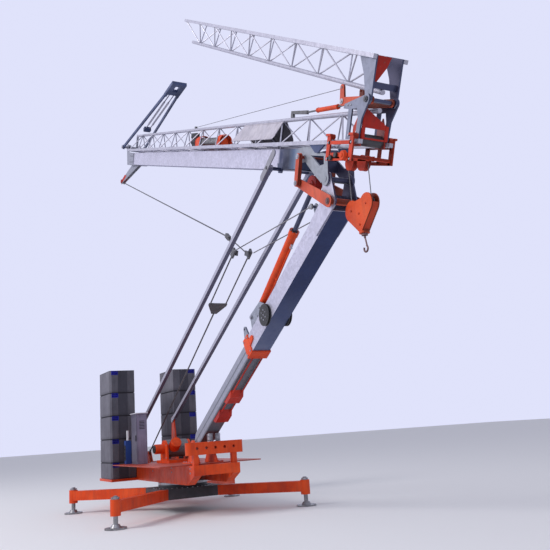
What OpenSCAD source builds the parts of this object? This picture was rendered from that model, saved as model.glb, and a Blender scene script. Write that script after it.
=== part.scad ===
// Self-erecting tower crane standing on its jacks, with masts and jib partly unfolded.
// X points forward, the way the lower mast leans, Y to the crane's left and Z up.
// The origin is on the ground under the slewing axis. Sizes are millimetres.

/* [Pose as built] */
// Lean of the lower mast above level, degrees
lower_mast_lean = 28.4; // [27.5:0.1:29.5]
// Slope of the upper mast from its head down to the fold pin, degrees
upper_mast_slope = 21.4; // [20.5:0.1:22.5]
// Slope of the outer jib section down to the jib fold pin, degrees
outer_jib_slope = 34; // [32:0.5:36]
// Rise of the jib strut above level, degrees
jib_strut_rise = 0; // [-2:0.5:3]

/* [Undercarriage] */
// Distance of each jack from the slewing axis, along X and along Y
jack_reach = 2050; // [1900:10:2300]
// Width of an outrigger arm
arm_w = 180; // [140:5:220]
// Height of an outrigger arm
arm_h = 220; // [180:5:230]
// Height of the arms' lower face above the ground
arm_z = 300; // [270:5:305]
// Wall of an outrigger arm
arm_wall = 10; // [6:1:14]
// Diameter of a jack foot
foot_d = 420; // [300:10:500]
// Diameter of a jack screw
jack_d = 90; // [70:5:110]
// Half length of the central chassis box
chassis_half = 700; // [640:10:780]
// Outer diameter of the slewing ring
slew_ring_d = 1100; // [1040:10:1160]
// Radial width of the slewing ring
slew_ring_w = 150; // [120:5:170]

/* [Slewing platform] */
// Height of the platform's lower face
platform_z = 640; // [630:5:660]
// Height of the platform's long beams
beam_h = 390; // [370:5:410]
// Width of a long beam
beam_w = 160; // [140:5:170]
// Half spacing of the long beams
beam_y = 420; // [410:5:430]
// Rear end of the platform
platform_rear = -3250; // [-3400:10:-3200]
// Front end of the platform
platform_front = 2180; // [2170:10:2250]
// Thickness of the deck plate
deck_t = 20; // [8:1:30]
// Distance of the deck's side edges in from the ballast's outer faces
deck_inset = 30; // [10:5:50]

/* [Ballast] */
// Length of a ballast block along the platform
block_l = 1150; // [1000:10:1200]
// Width of a ballast block
block_w = 630; // [580:5:640]
// Height of a standard ballast block
block_h = 570; // [500:5:580]
// Height of the lowest block of each stack
base_block_h = 390; // [360:5:420]
// Gap between a stack and the long beam beside it
ballast_gap = 20; // [10:5:40]
// Front face of the stacks
ballast_front = -2000; // [-2030:5:-1990]
// Thickness of the ledge under the stacks
ledge_t = 60; // [40:5:80]

/* [Lower mast] */
// Side of the square mast boxes
mast_side = 340; // [330:2:350]
// Wall of the mast boxes
mast_wall = 8; // [5:1:12]
// Side of the telescoping base section
base_side = 290; // [270:2:300]
// Foot pin place along X
foot_x = 1350; // [1340:1:1360]
// Foot pin height
foot_z = 1420; // [1410:1:1430]
// Diameter of the foot pin
foot_pin_d = 70; // [60:2:80]
// Start of the mast box along the lower mast
box_start = 3430; // [3400:10:3480]
// End of the mast box along the lower mast
box_end = 7050; // [7040:5:7060]
// Start of the lowest guide bracket along the lower mast
guide_start = 1150; // [1120:10:1180]
// Distance between the two guide brackets' starts
guide_pitch = 700; // [680:10:760]
// Fold pin place along the lower mast
fold_pin_x = 7250; // [7240:1:7260]
// Distance from the fold pin to the nearer side of either mast
fold_pin_gap = 120; // [116:1:124]
// Diameter of the fold pin
fold_pin_d = 90; // [80:2:100]

/* [Fold linkage] */
// Crank pivot along the lower mast
crank_x = 7150; // [7140:1:7160]
// Crank pivot above the lower mast's foot line
crank_z = -30; // [-35:1:-25]
// Knee along the lower mast
knee_x = 6720; // [6710:1:6730]
// Knee above the foot line
knee_z = 820; // [810:1:830]
// Ram pivot along the lower mast
ram_x = 3800; // [3790:1:3810]
// Ram pivot above the foot line
ram_z = 470; // [460:1:480]
// Outer diameter of the ram barrel
ram_d = 150; // [140:2:160]
// Length of the ram barrel from its pivot
ram_barrel_l = 2020; // [1950:10:2100]
// Diameter of the ram rod
ram_rod_d = 80; // [70:2:90]
// Diameter of the linkage pins
link_pin_d = 50; // [44:2:56]

/* [Upper mast] */
// Start of the upper mast box, measured from the fold pin
upper_start = 1020; // [1010:5:1040]
// Far end of the upper mast box, measured from the fold pin
upper_end = 11720; // [11700:10:11740]
// Strut pin place along the upper mast, measured from the fold pin
strut_pin_x = 1600; // [1590:5:1610]
// Toggle pin distance from the fold pin along the upper mast
toggle_x = 729; // [719:1:739]
// Toggle pin height above the fold pin, square to the upper mast
toggle_z = 315; // [305:1:325]

/* [Jib] */
// Distance from the upper mast's end to the jib root pin, along the mast
root_gap = 230; // [220:5:240]
// Height of the jib root pin above the upper mast
jib_root_rise = 160; // [150:5:170]
// Height of the jib's lower chords above the upper mast
chord_rise = 70; // [65:1:75]
// Half spacing of the jib's lower chords
jib_half_w = 250; // [246:2:254]
// Depth of the jib between lower and top chords
jib_depth = 440; // [430:5:450]
// Side of a lower chord
chord_side = 60; // [54:2:64]
// How far the jib fold pin stands beyond the mast's fold pin, along the jib
jib_overhang = 900; // [890:5:910]
// Length of the outer jib section from the jib fold pin
outer_jib_l = 8400; // [8000:50:8450]
// Number of bays of the inner section
inner_bays = 12; // [11:1:13]
// Number of bays of the outer section
outer_bays = 8; // [7:1:9]
// Diameter of a bracing bar
brace_d = 26; // [20:1:28]
// Diameter of the jib pins
jib_pin_d = 60; // [50:2:70]
// Length of the jib strut from the root pin to its head
jib_strut_l = 4200; // [4000:50:4300]

/* [Rear struts] */
// Half spacing of the two rear struts
strut_y = 390; // [386:2:396]
// Side of a strut tube
strut_side = 80; // [70:2:84]
// Strut foot pin along X
strut_foot_x = -1700; // [-1710:1:-1690]
// Strut foot pin height
strut_foot_z = 2050; // [2040:1:2060]

/* [Stays] */
// Reach of the mast head's fin beyond the jib root pin
fin_reach = 1010; // [980:10:1040]
// Drop of the fin's tip below the fold pin, square to the upper mast
fin_drop = 430; // [410:5:450]
// Foot pin of the tie rods along X
tie_foot_x = -2600; // [-2610:5:-2580]
// Height of the tie rods' foot pin
tie_foot_z = 1250; // [1240:5:1260]
// Connectors between tie rods and keeper ropes along X
tie_node_x = 3950; // [3940:5:3960]
// Height of those connectors
tie_node_z = 4980; // [4970:5:4990]
// Length of the forked part of the tie rods
tie_fork_l = 1550; // [1500:10:1600]
// Half spacing of the tie rods' forked part
tie_y = 170; // [160:2:180]

/* [Trolley and hook block] */
// Trolley's middle, measured back from the jib fold pin
trolley_back = 418; // [410:2:426]
// Half spacing of the trolley sheaves along the jib
sheave_reach = 160; // [154:2:166]
// Diameter over a sheave's flanges
sheave_d = 220; // [200:5:230]
// Diameter of the hoist rope
rope_d = 14; // [8:1:16]
// Drop from the trolley sheaves to the hook block's sheaves
hook_drop = 663; // [600:5:700]
// Radius of the hook block's lobes
lobe_r = 150; // [130:5:160]
// Thickness over the hook block's plates
hook_block_t = 130; // [110:5:150]

/* [Hidden] */

$fn = 32;
// Added to a bore so that its pin turns in it
pin_play = 0.2;
// Between pieces that rest on or against each other
seat = 0.3;
// Between moving plates that pass each other
pass = 10;
// Thickness of the mast's side plates
plate_t = 25;

// Longer than any piece that a bore goes through
bore_l = 4000;

// Places across the platform
ballast_overall_w = 2 * (beam_y + beam_w / 2 + ballast_gap + block_w);
deck_half_w = ballast_overall_w / 2 - deck_inset;

// Places across the mast, from the box outwards
half_side = mast_side / 2;
head_y = half_side + plate_t;
foot_y = head_y + pass;
foot_out_y = foot_y + plate_t;
crank_y = foot_out_y + 15;
crank_out_y = crank_y + plate_t;
toggle_y = crank_out_y + pass;
toggle_out_y = toggle_y + 20;

// Places square to the lower mast, from its foot line
mast_front = -120;
mast_rear = mast_front + mast_side;
mast_mid = (mast_front + mast_rear) / 2;
base_front = mast_mid - base_side / 2;
base_rear = mast_mid + base_side / 2;
fold_pin_z = mast_rear + fold_pin_gap;
fold_x = foot_x + fold_pin_x * cos(lower_mast_lean) - fold_pin_z * sin(lower_mast_lean);
fold_z = foot_z + fold_pin_x * sin(lower_mast_lean) + fold_pin_z * cos(lower_mast_lean);

// Places square to the upper mast, from the fold pin
upper_low = fold_pin_gap;
upper_top = upper_low + mast_side;
jib_root_x = upper_end + root_gap;
root = [-jib_root_x, upper_top + jib_root_rise];
fin_tip = [-jib_root_x - fin_reach, -fin_drop];

// Places along and square to the jib, from its root pin
inner_jib_l = jib_root_x + jib_overhang;
chord_low = chord_rise - jib_root_rise;
chord_top = chord_low + jib_depth;
top_chord_d = 70;
fold_rise = 120;
jib_fold_z = chord_top + fold_rise;
fold_at = [inner_jib_l, jib_fold_z];
lattice_start = 360;
chord_end_gap = 10;
floor_z = chord_low - chord_side / 2;
roof_z = chord_low + chord_side / 2;
ridge = chord_top + top_chord_d / 2;
chord_out_y = jib_half_w + chord_side / 2;
chord_in_y = jib_half_w - chord_side / 2;

beam_top = platform_z + beam_h;
deck_top = beam_top + deck_t;
ring_split = platform_z - 50;
tie_foot = [tie_foot_x, tie_foot_z];
tie_node = [tie_node_x, tie_node_z];

// Places a child at the foot pin, with X up along the lower mast
module at_lower_mast() {
    translate([foot_x, 0, foot_z]) rotate([0, -lower_mast_lean, 0]) children();
}

// Places a child at the fold pin, with X down along the upper mast
module at_upper_mast() {
    translate([fold_x, 0, fold_z]) rotate([0, upper_mast_slope, 0]) children();
}

// Places a child at the jib root pin, with X out along the inner jib
module at_inner_jib() {
    at_upper_mast() translate([root[0], 0, root[1]]) children();
}

// Places a child at the jib fold pin, with the outer section along minus X
module at_outer_jib() {
    at_inner_jib() translate([inner_jib_l, 0, jib_fold_z])
        rotate([0, outer_jib_slope - upper_mast_slope, 0]) children();
}

// Draws a child and its mirror image on the other side of the crane
module both_sides() {
    children();
    mirror([0, 1, 0]) children();
}

// A box from a low corner to a high corner
module block(a, b) {
    translate(a) cube([b[0] - a[0], b[1] - a[1], b[2] - a[2]]);
}

// A straight bar between two points
module bar(p, q, d, sides = 6) {
    v = q - p;
    l = norm(v);
    translate(p) rotate([0, acos(v[2] / l), atan2(v[1], v[0])])
        cylinder(h = l, d = d, $fn = sides);
}

// A cylinder along Y at an XZ point
module pin(at, d, y0, y1) {
    translate([at[0], y0, at[1]]) rotate([-90, 0, 0]) cylinder(h = y1 - y0, d = d);
}

// A bore along Y, right through
module bore(at, d) {
    pin(at, d, -bore_l / 2, bore_l / 2);
}

// Extrudes a child drawn in XZ between two Y values
module slab(y0, y1) {
    translate([0, y1, 0]) rotate([90, 0, 0]) linear_extrude(y1 - y0) children();
}

// A plate of an XZ outline between two Y values
module plate(points, y0, y1) {
    slab(y0, y1) polygon(points);
}

// Outline of a link that tapers from one round end to another
module taper(p, r, q, s) {
    v = q - p;
    a = atan2(v[1], v[0]);
    b = acos((r - s) / norm(v));
    translate(p) circle(r);
    translate(q) circle(s);
    polygon([p + r * [cos(a + b), sin(a + b)], q + s * [cos(a + b), sin(a + b)],
        q + s * [cos(a - b), sin(a - b)], p + r * [cos(a - b), sin(a - b)]]);
}

// A square hollow tube along X
module tube_x(x0, x1, half, z0, z1, wall) {
    difference() {
        block([x0, -half, z0], [x1, half, z1]);
        block([x0 - 1, wall - half, z0 + wall], [x1 + 1, half - wall, z1 - wall]);
    }
}

// The grooves leave half a millimetre on either side of the rope
groove_half = rope_d / 2 + 0.5;
sheave_half = 25;

// A sheave in the XZ plane with a groove for the rope
module sheave(at, d, core_d) {
    both_sides() pin(at, d, groove_half, sheave_half);
    pin(at, core_d, -groove_half - 1, groove_half + 1);
}

// Undercarriage

// The jack sleeves reach a little above the arms and further below them
sleeve_over = 20;
sleeve_under = 60;

module chassis() {
    neck_z = arm_z + arm_h;
    ring_r = slew_ring_d / 2;
    color("dimgray") difference() {
        union() {
            block([-chassis_half, -chassis_half, arm_z], [chassis_half, chassis_half, neck_z]);
            translate([0, 0, neck_z - 1]) cylinder(h = ring_split - seat - neck_z + 1, r = ring_r);
        }
        translate([0, 0, arm_z - 1]) cylinder(h = platform_z, r = ring_r - slew_ring_w);
    }
}

module outriggers() {
    reach = jack_reach * sqrt(2);
    cut = chassis_half + seat;
    color("orangered") for (a = [45:90:315]) rotate([0, 0, a]) difference() {
        union() {
            difference() {
                tube_x(0, reach, arm_w / 2, arm_z, arm_z + arm_h, arm_wall);
                rotate([0, 0, 45]) block([-cut, -cut, 0], [cut, cut, 2 * arm_z + arm_h]);
            }
            translate([reach, 0, arm_z - sleeve_under])
                cylinder(h = arm_h + sleeve_under + sleeve_over, d = arm_w + 20);
        }
        translate([reach, 0, 0]) cylinder(h = bore_l, d = jack_d + 2);
    }
}

// The screws end under the platform, which passes over them
module jacks() {
    sleeve_top = arm_z + arm_h + sleeve_over;
    color("gray") for (sx = [-1, 1], sy = [-1, 1])
        translate([sx * jack_reach, sy * jack_reach, 0]) {
            cylinder(h = 30, d = foot_d);
            cylinder(h = 90, d1 = foot_d * 0.6, d2 = jack_d + 50);
            cylinder(h = sleeve_top + 60, d = jack_d);
            translate([0, 0, sleeve_top]) cylinder(h = 40, d = jack_d + 60);
        }
}

module slewing_ring_upper() {
    color("silver") translate([0, 0, ring_split]) difference() {
        cylinder(h = platform_z - ring_split, d = slew_ring_d);
        translate([0, 0, -1]) cylinder(h = platform_z, d = slew_ring_d - 2 * slew_ring_w);
    }
}

// Slewing platform

module slewing_platform() {
    inner_y = beam_y - beam_w / 2;
    outer_y = beam_y + beam_w / 2;
    cross_z = platform_z + 190;
    color("orangered") {
        both_sides() plate([[platform_rear, platform_z], [platform_front - 420, platform_z],
            [platform_front, cross_z], [platform_front, beam_top],
            [platform_rear, beam_top]], inner_y, outer_y);
        for (x = [platform_rear, ballast_front + 50, -700, 700, platform_front - 140])
            block([x, -inner_y - 1, cross_z], [x + 140, inner_y + 1, beam_top]);
        both_sides() block([platform_rear, outer_y - 1, platform_z],
            [ballast_front + 40, ballast_overall_w / 2, platform_z + ledge_t]);
        both_sides() difference() {
            slab(20, 45) taper([tie_foot[0], cross_z + 160], 200, tie_foot, 60);
            block([-5000, -100, 0], [0, 100, cross_z + 20]);
        }
        block([tie_foot[0] - 240, -inner_y - 1, cross_z],
            [tie_foot[0] + 240, inner_y + 1, cross_z + 40]);
        pin(tie_foot, 40, -50, 50);
    }
}

module platform_deck() {
    color("orangered") block([ballast_front + 60, -deck_half_w, beam_top],
        [platform_front - 300, deck_half_w, deck_top]);
}

block_base_z = platform_z + ledge_t;
pocket_w = 170;
pocket_l = 150;
pocket_h = 110;

// Ballast courses hold one block of each stack, numbered from the lowest
function course_z(n) = block_base_z + (n == 1 ? 0 : base_block_h + (n - 2) * block_h);
function course_h(n) = n == 1 ? base_block_h : block_h;

module pocket_places(n) {
    for (x = [ballast_front - pocket_l, ballast_front - block_l])
        translate([x, ballast_overall_w / 2 - 40 - pocket_w, course_z(n) + course_h(n) - pocket_h])
            children();
}

// Outline of the left stack seen from above, drawn in by an inset on all its faces
module stack_outline(inset) {
    y_out = ballast_overall_w / 2 - inset;
    y_in = ballast_overall_w / 2 - block_w + inset;
    back = inset - block_l;
    chamfer = 45;
    polygon([[-inset, y_in], [-inset, y_out - chamfer], [-inset - chamfer, y_out],
        [back + chamfer, y_out], [back, y_out - chamfer], [back, y_in]]);
}

// A block stands on a foot that is drawn in, so that each course shows as a dark joint
module ballast_course(n) {
    foot_h = 16;
    foot_inset = 14;
    color("slategray") both_sides() difference() {
        translate([ballast_front, 0, course_z(n)]) {
            linear_extrude(foot_h + 1) stack_outline(foot_inset);
            translate([0, 0, foot_h]) linear_extrude(course_h(n) - foot_h) stack_outline(0);
        }
        pocket_places(n) translate([-1, 0, 0]) cube([pocket_l + 2, pocket_w, pocket_h + 1]);
    }
}

module lifting_pockets() {
    t = 8;
    color("midnightblue") both_sides() for (n = [1:5]) pocket_places(n) difference() {
        translate([seat, seat, seat])
            cube([pocket_l - 2 * seat, pocket_w - 2 * seat, pocket_h - 2 * seat]);
        translate([-t, t, t]) cube([pocket_l + 2 * t, pocket_w - 2 * t, pocket_h - 2 * t]);
    }
}

module control_cabinet() {
    low = [-1320, 160 - deck_half_w, deck_top];
    size = [500, 400, 1150];
    cap_t = 25;
    color("lightgray") {
        block(low, low + size);
        block(low + [-15, -15, size[2]], low + size + [30, 15, cap_t]);
    }
}

module power_box() {
    low = [-1720, 40 - deck_half_w, deck_top];
    size = [160, 140, 560];
    color("midnightblue") block(low, low + size);
    color("whitesmoke") translate(low + [80, 70, size[2] - 1]) cylinder(h = 240, d = 60);
}

module hoist_winch() {
    axis_z = deck_top + 320;
    color("orangered") {
        block([-760, -360, deck_top], [160, 300, deck_top + 60]);
        for (y = [-330, 240]) block([-560, y, deck_top + 59], [-60, y + 40, deck_top + 420]);
        pin([-310, axis_z], 380, -330, 280);
        pin([-310, axis_z], 220, -540, -329);
        translate([-40, -140, deck_top + 400]) rotate([0, 62, 0])
            cylinder(h = 260, d = 230, center = true);
    }
}

module strut_posts() {
    y0 = strut_y - 15;
    at = [strut_foot_x, strut_foot_z];
    color("orangered") both_sides() {
        slab(y0, y0 + 30) difference() {
            union() {
                translate(at) circle(90);
                polygon([[-1920, deck_top], [-1400, deck_top], at + [80, -20], at - [80, 20]]);
            }
            translate(at) circle((link_pin_d + pin_play) / 2);
        }
        block([-1920, y0 - 60, deck_top], [-1400, y0 + 1, deck_top + 20]);
    }
}

module mast_foot_bracket() {
    y0 = half_side + pass;
    foot = [foot_x, foot_z];
    color("orangered") {
        both_sides() {
            slab(y0, y0 + 40) {
                translate(foot) circle(105);
                polygon([[foot_x - 360, deck_top], [foot_x + 360, deck_top],
                    foot + [100, -30], foot - [100, 30]]);
            }
            block([foot_x - 380, y0 + 39, deck_top], [foot_x + 380, y0 + 140, deck_top + 25]);
        }
        pin(foot, foot_pin_d, -y0 - 60, y0 + 60);
    }
}

cross_beam_x = 2050;
cross_beam_z = 1230;
cross_beam_h = 250;
cross_beam_w = 170;

module front_cross_beam() {
    end_y = 540;
    color("orangered") {
        difference() {
            union() {
                block([cross_beam_x - cross_beam_w / 2, -end_y, cross_beam_z],
                    [cross_beam_x + cross_beam_w / 2, end_y, cross_beam_z + cross_beam_h]);
                both_sides() translate([cross_beam_x, end_y, cross_beam_z])
                    cylinder(h = cross_beam_h, d = cross_beam_w);
            }
            for (y = [-400:200:400]) translate([cross_beam_x, y, cross_beam_z + 130])
                rotate([0, 90, 0]) cylinder(h = 400, d = 60, center = true);
        }
        both_sides() block([cross_beam_x - 60, beam_y - 50, beam_top],
            [cross_beam_x + 60, beam_y + 50, cross_beam_z + 1]);
    }
}

module buffer_coils() {
    coil_d = 130;
    turns = 5;
    pitch = 34;
    color("silver") translate([cross_beam_x, 0, cross_beam_z + cross_beam_h]) both_sides() {
        translate([0, 80, 0]) cylinder(h = turns * pitch, d = coil_d - 50);
        for (i = [0:turns - 1]) translate([0, 80, i * pitch]) cylinder(h = pitch / 2, d = coil_d);
    }
}

// Lower mast

module lower_mast_base() {
    foot_web_y = base_side / 2 - 20;
    color("silver") at_lower_mast() difference() {
        union() {
            tube_x(150, box_start + 400, base_side / 2, base_front, base_rear, mast_wall);
            pin([0, 0], 150, -half_side, half_side);
            both_sides() plate([[-50, -60], [151, base_front], [151, base_rear], [-50, 60]],
                foot_web_y, foot_web_y + 20);
            block([140, -base_side / 2, base_front], [151, base_side / 2, base_rear]);
        }
        bore([0, 0], foot_pin_d + pin_play);
    }
}

// Guide brackets and rods on the front of the base section
module mast_guides() {
    low = base_front - 95;
    places = [guide_start, guide_start + guide_pitch];
    bracket_l = 420;
    rod_start = guide_start + 250;
    color("orangered") at_lower_mast() {
        for (x = places) difference() {
            plate([[x, base_front], [x + bracket_l, base_front], [x + bracket_l - 90, low],
                [x + 90, low]], -135, 135);
            translate([x + 60, -70, low + 25]) cube([bracket_l - 130, 140, 200]);
        }
        both_sides() translate([rod_start, 95, base_front - 40]) rotate([0, 90, 0])
            cylinder(h = box_start - 60 - rod_start, d = 30);
    }
}

collar_lip = 20;
collar_low = box_start - 60;
collar_high = box_start + 160;

// A collar around the end of the mast box, with a round-ended tongue up each side
module telescope_collar() {
    tongue = [collar_high + 120, mast_mid + 20];
    color("orangered") at_lower_mast() {
        difference() {
            block([collar_low, -half_side - collar_lip, mast_front - collar_lip],
                [collar_high, half_side + collar_lip, mast_rear + collar_lip]);
            block([box_start, -half_side, mast_front], [collar_high + 1, half_side, mast_rear]);
            block([collar_low - 1, -base_side / 2, base_front],
                [box_start + 1, base_side / 2, base_rear]);
        }
        both_sides() slab(half_side + seat, half_side + collar_lip)
            taper([collar_high - 90, mast_mid], 75, tongue, 50);
    }
}

module lower_mast_box() {
    color("silver") at_lower_mast()
        tube_x(box_start, box_end, half_side, mast_front, mast_rear, mast_wall);
}

crank_tube_d = 100;

module lower_mast_head() {
    crank = [crank_x, crank_z];
    fold = [fold_pin_x, fold_pin_z];
    color("lightgray") at_lower_mast() difference() {
        union() {
            both_sides() slab(half_side, head_y) {
                taper(crank, 85, fold, 110);
                polygon([[box_end - 550, mast_front + 20], crank - [0, 85], fold,
                    fold + [-50, 90], [box_end - 150, mast_rear], [box_end - 550, mast_rear - 20]]);
            }
            block([box_end, -half_side - 1, mast_front], [box_end + 12, half_side + 1, mast_rear]);
        }
        bore(fold, fold_pin_d + pin_play);
        bore(crank, crank_tube_d + pin_play);
    }
}

ram_ear_y = 85;

module ram_bracket() {
    pivot = [ram_x, ram_z];
    base_z = mast_rear + collar_lip + seat;
    end_x = ram_x + 560;
    ear_out_y = ram_ear_y + plate_t;
    color("gray") at_lower_mast() {
        both_sides() slab(ram_ear_y, ear_out_y) {
            translate(pivot) circle(66);
            polygon([[ram_x - 120, base_z], [end_x, base_z], [end_x, base_z + 90],
                [end_x - 130, ram_z + 20], [ram_x + 20, ram_z + 60], [ram_x - 60, ram_z - 20]]);
        }
        block([collar_high + seat, -ear_out_y, mast_rear], [end_x, ear_out_y, base_z + 1]);
        pin(pivot, link_pin_d, -ear_out_y - pass, ear_out_y + pass);
    }
}

// A rope pulley on each side of the mast box, between two flanges
module ram_pulley() {
    centre = [ram_x + 615, mast_mid - 15];
    pulley_d = 380;
    y0 = half_side + seat;
    color("black") at_lower_mast() both_sides() {
        pin(centre, pulley_d * 0.8, y0, y0 + 60);
        for (y = [y0 + 6, y0 + 42]) pin(centre, pulley_d, y, y + 16);
    }
}

// Lugs that hold the keeper ropes to the lower mast, and a pair of spare lugs on the collar
lug = [6700, 330];
lug_pin_d = 44;

module stay_lugs() {
    spare = [box_start + 75, mast_rear + 200];
    spare_foot = mast_rear + collar_lip + seat;
    color("gray") at_lower_mast() both_sides() {
        plate([[lug[0] - 90, mast_rear], [lug[0] + 90, mast_rear], lug + [40, 40],
            lug + [-40, 40]], 120, 150);
        pin(lug, lug_pin_d, 149, foot_out_y);
        slab(125, 155) difference() {
            union() {
                translate(spare) circle(50);
                polygon([[collar_low + 10, spare_foot], [collar_high - 10, spare_foot],
                    spare + [50, 0], spare - [50, 0]]);
            }
            translate(spare) circle(lug_pin_d / 2);
        }
    }
}

// Fold mechanism

knee = [knee_x, knee_z];
knee_stub_y = 60;
ram_l = norm(knee - [ram_x, ram_z]);
ram_angle = atan2(knee_z - ram_z, knee_x - ram_x);

module at_ram() {
    at_lower_mast() translate([ram_x, 0, ram_z]) rotate([0, -ram_angle, 0]) children();
}

module ram_barrel() {
    pipe_l = ram_barrel_l - 520;
    pipe_z = -ram_d / 2 - 24;
    color("orangered") at_ram() difference() {
        union() {
            translate([110, 0, 0]) rotate([0, 90, 0]) cylinder(h = ram_barrel_l - 110, d = ram_d);
            translate([ram_barrel_l - 90, 0, 0]) rotate([0, 90, 0]) cylinder(h = 90, d = ram_d + 24);
            pin([0, 0], 130, -75, 75);
            block([0, -65, -60], [150, 65, 60]);
            translate([300, 0, pipe_z]) rotate([0, 90, 0]) cylinder(h = pipe_l, d = 30);
            for (x = [310, 1000, 250 + pipe_l]) block([x, -18, pipe_z - 2], [x + 40, 18, 0]);
        }
        bore([0, 0], link_pin_d + pin_play);
        translate([330, 0, 0]) rotate([0, 90, 0])
            cylinder(h = ram_barrel_l, d = ram_rod_d + 2 * pin_play);
    }
}

module ram_rod() {
    color("slategray") at_ram() difference() {
        union() {
            translate([360, 0, 0]) rotate([0, 90, 0]) cylinder(h = ram_l - 400, d = ram_rod_d);
            pin([ram_l, 0], 124, -42, 42);
            block([ram_l - 150, -36, -50], [ram_l, 36, 50]);
        }
        bore([ram_l, 0], link_pin_d + pin_play);
    }
}

module bell_crank() {
    crank = [crank_x, crank_z];
    color("orangered") at_lower_mast() {
        both_sides() {
            slab(crank_y, crank_out_y) taper(crank, 90, knee, 70);
            pin(knee, link_pin_d, knee_stub_y, crank_y + 1);
        }
        pin(crank, crank_tube_d, -crank_y - 1, crank_y + 1);
    }
}

// The knee as seen from the fold pin, in the upper mast's directions
fold_angle = lower_mast_lean + upper_mast_slope;
knee_dx = knee_x - fold_pin_x;
knee_dz = knee_z - fold_pin_z;
knee_from_fold = [knee_dx * cos(fold_angle) - knee_dz * sin(fold_angle),
    knee_dx * sin(fold_angle) + knee_dz * cos(fold_angle)];
toggle = [-toggle_x, toggle_z];

module toggle_links() {
    color("orangered") at_upper_mast() {
        both_sides() slab(toggle_y, toggle_out_y) taper(toggle, 60, knee_from_fold, 60);
        pin(toggle, link_pin_d, -toggle_y - 1, toggle_y + 1);
    }
}

// Upper mast

module upper_mast_box() {
    color("silver") at_upper_mast()
        tube_x(-upper_end, -upper_start, half_side, upper_low, upper_top, mast_wall);
}

module upper_mast_foot() {
    back = -upper_start - 420;
    strut_pin = [-strut_pin_x, upper_low];
    color("lightgray") at_upper_mast() {
        difference() {
            both_sides() {
                slab(foot_y, foot_out_y) difference() {
                    union() {
                        circle(100);
                        polygon([[back, upper_low + 10], [60 - upper_start, upper_low + 10],
                            toggle + [-100, -85], toggle + [50, -65], [-395, 88], [-110, -60],
                            [73, 71], [15, 279], [-60, 372], [-244, 390], [-480, 474],
                            toggle + [0, 165], [-upper_start, upper_top - 10],
                            [back, upper_top - 10]]);
                    }
                    polygon([[-498, 345], [-105, 335], [-80, 215], [-205, 190]]);
                }
                block([back, half_side, upper_low + 20], [-upper_start + 20, foot_y + 1, upper_top - 20]);
            }
            bore(toggle, link_pin_d + pin_play);
        }
        block([-upper_start, -foot_y - 1, upper_low + 20], [-upper_start + 20, foot_y + 1, upper_top - 20]);
        block([-430, -foot_y - 1, 120], [-410, foot_y + 1, 290]);
        pin([0, 0], fold_pin_d, -foot_out_y - 6, foot_out_y + 6);
        both_sides() {
            plate([strut_pin + [-130, 100], strut_pin + [-60, -60], strut_pin + [60, -60],
                strut_pin + [130, 100]], half_side, half_side + 20);
            pin(strut_pin, 60, half_side + 19, strut_y - strut_side / 2 - 12);
        }
    }
}

module upper_mast_head() {
    cheek_y = half_side + 20;
    color("lightgray") at_upper_mast() {
        both_sides() slab(half_side, cheek_y) {
            translate(root) circle(95);
            polygon([[-upper_end + 500, upper_low - 1], [-upper_end + 500, upper_top - 20],
                [-upper_end - 60, upper_top + 20], root + [70, 60], root + [-90, 20],
                [-upper_end - 130, upper_low - 1]]);
        }
        block([-upper_end - 10, -half_side - 1, upper_low - 1], [-upper_end, half_side + 1, upper_top]);
        block([-upper_end - 130, -cheek_y, upper_low - 12], [-upper_end + 660, cheek_y, upper_low]);
        pin(root, foot_pin_d, -350, 350);
        both_sides() slab(30, 50) {
            polygon([[-upper_end + 640, upper_low - 1], fin_tip + [70, -20],
                fin_tip + [-30, 50], [-upper_end - 110, upper_low - 1]]);
            translate(fin_tip) circle(60);
        }
        pin(fin_tip, 40, -55, 55);
    }
}

// Stay rope from the fin at the mast head to the yoke over the rear struts
module head_tie() {
    fork = [-4050, -1250];
    split = [-3300, -1490];
    yoke_y = 118;
    color("dimgray") at_upper_mast() {
        difference() {
            union() {
                pin(fin_tip, 80, -20, 20);
                bar([fin_tip[0], 0, fin_tip[1]], [fork[0], 0, fork[1]], 30);
            }
            bore(fin_tip, 40 + pin_play);
        }
        translate([fork[0], 0, fork[1]]) rotate([0, 17, 0]) block([-90, -30, -45], [90, 30, 45]);
        both_sides() {
            bar([fork[0], 10, fork[1]], [split[0], yoke_y, split[1]], 26);
            translate([split[0], yoke_y, split[1]]) block([-80, -16, -50], [80, 16, 50]);
        }
    }
}

// Rear struts

strut_pin_at = [fold_x - strut_pin_x * cos(upper_mast_slope) + upper_low * sin(upper_mast_slope),
    fold_z + strut_pin_x * sin(upper_mast_slope) + upper_low * cos(upper_mast_slope)];
strut_foot = [strut_foot_x, strut_foot_z];
strut_rise = atan2(strut_pin_at[1] - strut_foot_z, strut_pin_at[0] - strut_foot_x);
strut_l = norm(strut_pin_at - strut_foot);

module rear_struts() {
    y0 = strut_y - strut_side / 2;
    y1 = strut_y + strut_side / 2;
    slot = 17;
    color("silver") translate([strut_foot_x, 0, strut_foot_z]) rotate([0, -strut_rise, 0])
        both_sides() {
            difference() {
                union() {
                    block([150, y0, -strut_side / 2], [strut_l - 60, y1, strut_side / 2]);
                    slab(y0, y1) circle(60);
                    block([0, y0, -45], [160, y1, 45]);
                    slab(y0, y1) translate([strut_l, 0]) circle(62);
                    block([strut_l - 120, y0, -48], [strut_l, y1, 48]);
                }
                block([-200, strut_y - slot, -200], [110, strut_y + slot, 200]);
                bore([strut_l, 0], 62);
            }
            pin([0, 0], link_pin_d, y0 - 6, y1 + 6);
        }
}

// Stays

keeper_y = foot_out_y - 15;

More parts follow.
